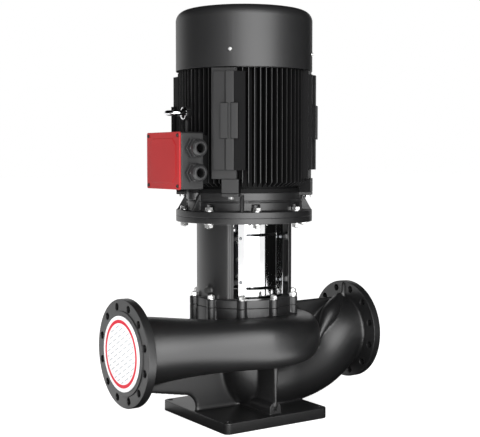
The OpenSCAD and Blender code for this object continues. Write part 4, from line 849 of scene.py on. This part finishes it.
circle = bpy.data.node_groups.new("bolt_circle", "GeometryNodeTree")
circle.is_modifier = True
for label, kind in (("Geometry", "Geometry"), ("Part", "Object"), ("Finish", "Material"), ("Count", "Int"),
                    ("Radius", "Float"), ("Start", "Float"), ("Height", "Float"), ("Twist", "Float")):
    circle.interface.new_socket(label, in_out="INPUT", socket_type="NodeSocket" + kind)
circle.interface.new_socket("Geometry", in_out="OUTPUT", socket_type="NodeSocketGeometry")
nodes, links = circle.nodes, circle.links
given, result = nodes.new("NodeGroupInput"), nodes.new("NodeGroupOutput")
spots = add(nodes, "GeometryNodePoints")
links.new(given.outputs["Count"], spots.inputs["Count"])
number = add(nodes, "GeometryNodeInputIndex").outputs[0]
step = compute(nodes, links, "DIVIDE", 2 * math.pi, given.outputs["Count"])
angle = compute(nodes, links, "MULTIPLY_ADD", number, step, given.outputs["Start"])
spot = add(nodes, "ShaderNodeCombineXYZ")
for index, turn in enumerate(("COSINE", "SINE")):
    wave = compute(nodes, links, turn, angle)
    links.new(compute(nodes, links, "MULTIPLY", wave, given.outputs["Radius"]), spot.inputs[index])
links.new(given.outputs["Height"], spot.inputs["Z"])
links.new(spot.outputs[0], spots.inputs["Position"])
turned = add(nodes, "ShaderNodeCombineXYZ")
facing = compute(nodes, links, "MULTIPLY_ADD", number, given.outputs["Twist"], angle)
links.new(facing, turned.inputs["Z"])
part = add(nodes, "GeometryNodeObjectInfo")
links.new(given.outputs["Part"], part.inputs["Object"])
copies = add(nodes, "GeometryNodeInstanceOnPoints")
links.new(spots.outputs[0], copies.inputs["Points"])
links.new(part.outputs["Geometry"], copies.inputs["Instance"])
links.new(turned.outputs[0], copies.inputs["Rotation"])
real = add(nodes, "GeometryNodeRealizeInstances")
links.new(copies.outputs[0], real.inputs[0])
coated = add(nodes, "GeometryNodeSetMaterial")
links.new(real.outputs[0], coated.inputs["Geometry"])
links.new(given.outputs["Finish"], coated.inputs["Material"])
links.new(coated.outputs[0], result.inputs[0])


def bolt_circle(name, part, mat, body, slot, stands_for, count, radius, start, height, twist):
    """Sets copies of a part round the vertical axis. twist turns each one a little further, because
    nuts come to rest at different angles."""
    obj = placed(name, bpy.data.meshes.new(name))
    mod = obj.modifiers.new("bolt_circle", "NODES")
    mod.node_group = circle
    values = {"Part": part, "Finish": mat, "Count": count, "Radius": radius, "Start": math.radians(start),
              "Height": height, "Twist": twist}
    for item in circle.interface.items_tree:
        if item.in_out == "INPUT" and item.name in values:
            mod[item.identifier] = values[item.name]
    bake(obj)
    bpy.data.objects.remove(part)
    return dress(obj, name, mat, body, slot, *stands_for, angle=30)


stud = join("stud", [washer("washer", NUT_AF / 2 + 0.002, 0, WASHER_T),
                     hexagon("nut", NUT_AF, WASHER_T, 0.0128),
                     threaded("stud", STUD_D, -0.051, 0.0158, 0.0124, 0.00175)])
bolt_circle("bracket_fasteners", stud, zinc, "frame", "zinc_steel", ("bracket_studs", "bracket_nuts"),
            STUD_COUNT, STUD_R, STUD_START, FOOT_Z, 0.21)

# Shaft coupling
# Two machined steel half shells clamp the pump shaft and the motor shaft together with screws.
softened("coupling_shell_front", "coupling_half_front", 0.0012, core_steel, "rotor", "zinc_steel")
softened("coupling_shell_rear", "coupling_half_rear", 0.0012, core_steel, "rotor", "zinc_steel")
softened("coupling_screws", "coupling_clamps", 0.0005, zinc, "rotor", "zinc_steel")

# Coupling guards
# Each window is closed by a folded and bulged sheet of polished stainless steel with two slots,
# held to the lugs by four small screws.
polished = bare_metal("polished_sheet", (0.86, 0.865, 0.87), 0.06, 0.05, 40, 0.000006)
softened("guard_front", "front_guard", 0.0003, polished, "frame", "stainless", 40)
softened("guard_rear", "rear_guard", 0.0003, polished, "frame", "stainless", 40)
softened("guard_screws", "guard_fixings", 0.0004, core_steel, "frame", "zinc_steel")

# Motor flange bolts
# Eight hexagon bolts with washers pass down through the motor flange and the bracket head, and
# their nuts sit below.
BOLT_AF, BOLT_D, FLANGE_TOP, BOLT_WASHER_R = 0.024, 0.016, 0.020, 0.015
BOLT_COUNT, BOLTS_AT = 8, 0.200
bolt = join("bolt", [washer("washer", BOLT_WASHER_R, FLANGE_TOP, FLANGE_TOP + 0.003),
                     hexagon("head", BOLT_AF, FLANGE_TOP + 0.003, FLANGE_TOP + 0.013),
                     washer("washer", BOLT_WASHER_R, -0.021, -0.018),
                     hexagon("nut", BOLT_AF, -0.032, -0.021)])
shank = threaded("shank", BOLT_D, -0.022, 0.0345, 0.0327, 0.002)
shank.data.transform(Matrix.Rotation(math.radians(180), 4, "X"))
bolt = join("bolt", [bolt, shank])
bolt_circle("motor_fasteners", bolt, zinc, "frame", "zinc_steel", ("flange_bolts", "flange_nuts"),
            BOLT_COUNT, BOLTS_AT, 180 / BOLT_COUNT, MOTOR_Z, 0.17)

# Drive-end shield
# The cast end cover of the motor carries the drive-side bearing, and its wide flange stands on
# the bracket head. Ribs stiffen the flange, and four hexagon screws hold it to the frame.
softened("drive_endshield", "drive_end_casting", 0.0022, cast_enamel, "frame", "black_paint", 32, segments=3)
softened("endshield_screws", "drive_end_screws", 0.0006, zinc, "frame", "zinc_steel")

# Motor bearings
# Two deep-groove ball bearings carry the motor shaft, one in each end cover.
ground_steel = bare_metal("ground_steel", (0.6, 0.61, 0.63), 0.18, 0.1, 120, 0.00001)
finish(ground_steel, "drive_bearing_outer", "drive_bearing_inner", "drive_bearing_balls", "fan_bearing_outer",
       "fan_bearing_inner", "fan_bearing_balls")

# Motor frame
# A cast barrel with seventy-two upright cooling fins, four foot pads, the seat of the terminal
# box and the boss of the lifting eye. Between the fins the enamel is painted darker and duller, as
# painted shade for the shade that falls deep between them.
frame_enamel = enamel("frame_enamel", (0.007, 0.007, 0.0073), (0.06, 0.06, 0.062), 0.45, 0.12, 260, 0.00018,
                      0.002, 0.7)
# A darker, duller enamel for the barrel wall and the fin flanks: painted shade between the fins.
recess_enamel = enamel("recess_enamel", (0.004, 0.004, 0.0042), (0.02, 0.02, 0.021), 0.6, 0.1, 260, 0.00018,
                       0.001, 0.1)
barrel = softened("motor_frame", "finned_barrel", 0.0009, frame_enamel, "frame", "black_paint", 32)
barrel.data.materials.append(recess_enamel)
FIN_TIP, TIP_FACING = 0.213, 0.93
FIN_FOOT, FIN_HEAD = 0.735, 1.157
# Faces below the fin tips, or turned away from the outside, take the darker enamel as painted shade.
for face in barrel.data.polygons:
    away = Vector((face.center.x, face.center.y, 0))
    if FIN_FOOT < face.center.z < FIN_HEAD and abs(face.normal.z) < 0.5:
        if away.length < FIN_TIP or face.normal.dot(away.normalized()) < TIP_FACING:
            face.material_index = 1

# Stator and rotor
# Stacked electrical steel, with wound copper ends on the stator and a cast cage on the rotor.
copper = bare_metal("copper_wire", (0.55, 0.22, 0.1), 0.35, 0.2, 400, 0.0002)
finish(core_steel, "stator_core", "rotor_core", "motor_shaft")
finish(copper, "stator_windings")

# Fan and cowl
# The plastic fan on the shaft's end blows air down between the fins. A spun steel cowl with an
# inlet grille in its top covers it, held by four screws.
moulded = enamel("black_plastic", (0.016, 0.016, 0.0165), (0.06, 0.06, 0.062), 0.33, 0.08, 900, 0.00003,
                 0.001)
sheet_enamel = enamel("sheet_enamel", (0.009, 0.009, 0.0094), (0.04, 0.04, 0.042), 0.46, 0.06, 700, 0.00004,
                      0.0015, 0.7)
softened("fan_endshield", "fan_end_casting", 0.0018, cast_enamel, "frame", "black_paint", 32)
softened("cooling_fan", "fan_wheel", 0.0006, moulded, "rotor", "black_plastic")
softened("fan_cowl", "spun_cowl", 0.0005, sheet_enamel, "frame", "black_paint", 32)
softened("cowl_screws", "cowl_fixings", 0.0005, zinc, "frame", "zinc_steel")

# Terminal box
# A cast box with a red cover stands on a rubber gasket at the motor's side, and the supply
# cables enter through two moulded glands.
red_enamel = enamel("red_enamel", (0.3, 0.016, 0.017), (0.5, 0.009, 0.014), 0.42, 0.06, 600, 0.00008, 0.002,
                    0.25)
softened("terminal_box", "box_body", 0.0014, cast_enamel, "frame", "black_paint", 32)
softened("terminal_cover", "box_lid", 0.0012, red_enamel, "frame", "red_paint", 32)
softened("cover_screws", "lid_screws", 0.0004, rubber, "frame", "black_plastic")
softened("gland_bodies", "gland_seats", 0.0008, moulded, "frame", "black_plastic")
softened("gland_nuts", "gland_caps", 0.0008, moulded, "frame", "black_plastic")
finish(rubber, "gland_seals", "box_gasket")
finish(zinc, "box_screws")
finish(moulded, "terminal_block")

# Lifting eye
# A forged and chrome-plated eyebolt is screwed into its boss on the frame.
chrome = bare_metal("chrome", (0.82, 0.82, 0.84), 0.07, 0.05, 80, 0.00001)
softened("lifting_eye", "eyebolt", 0.0006, chrome, "frame", "chrome", 50)
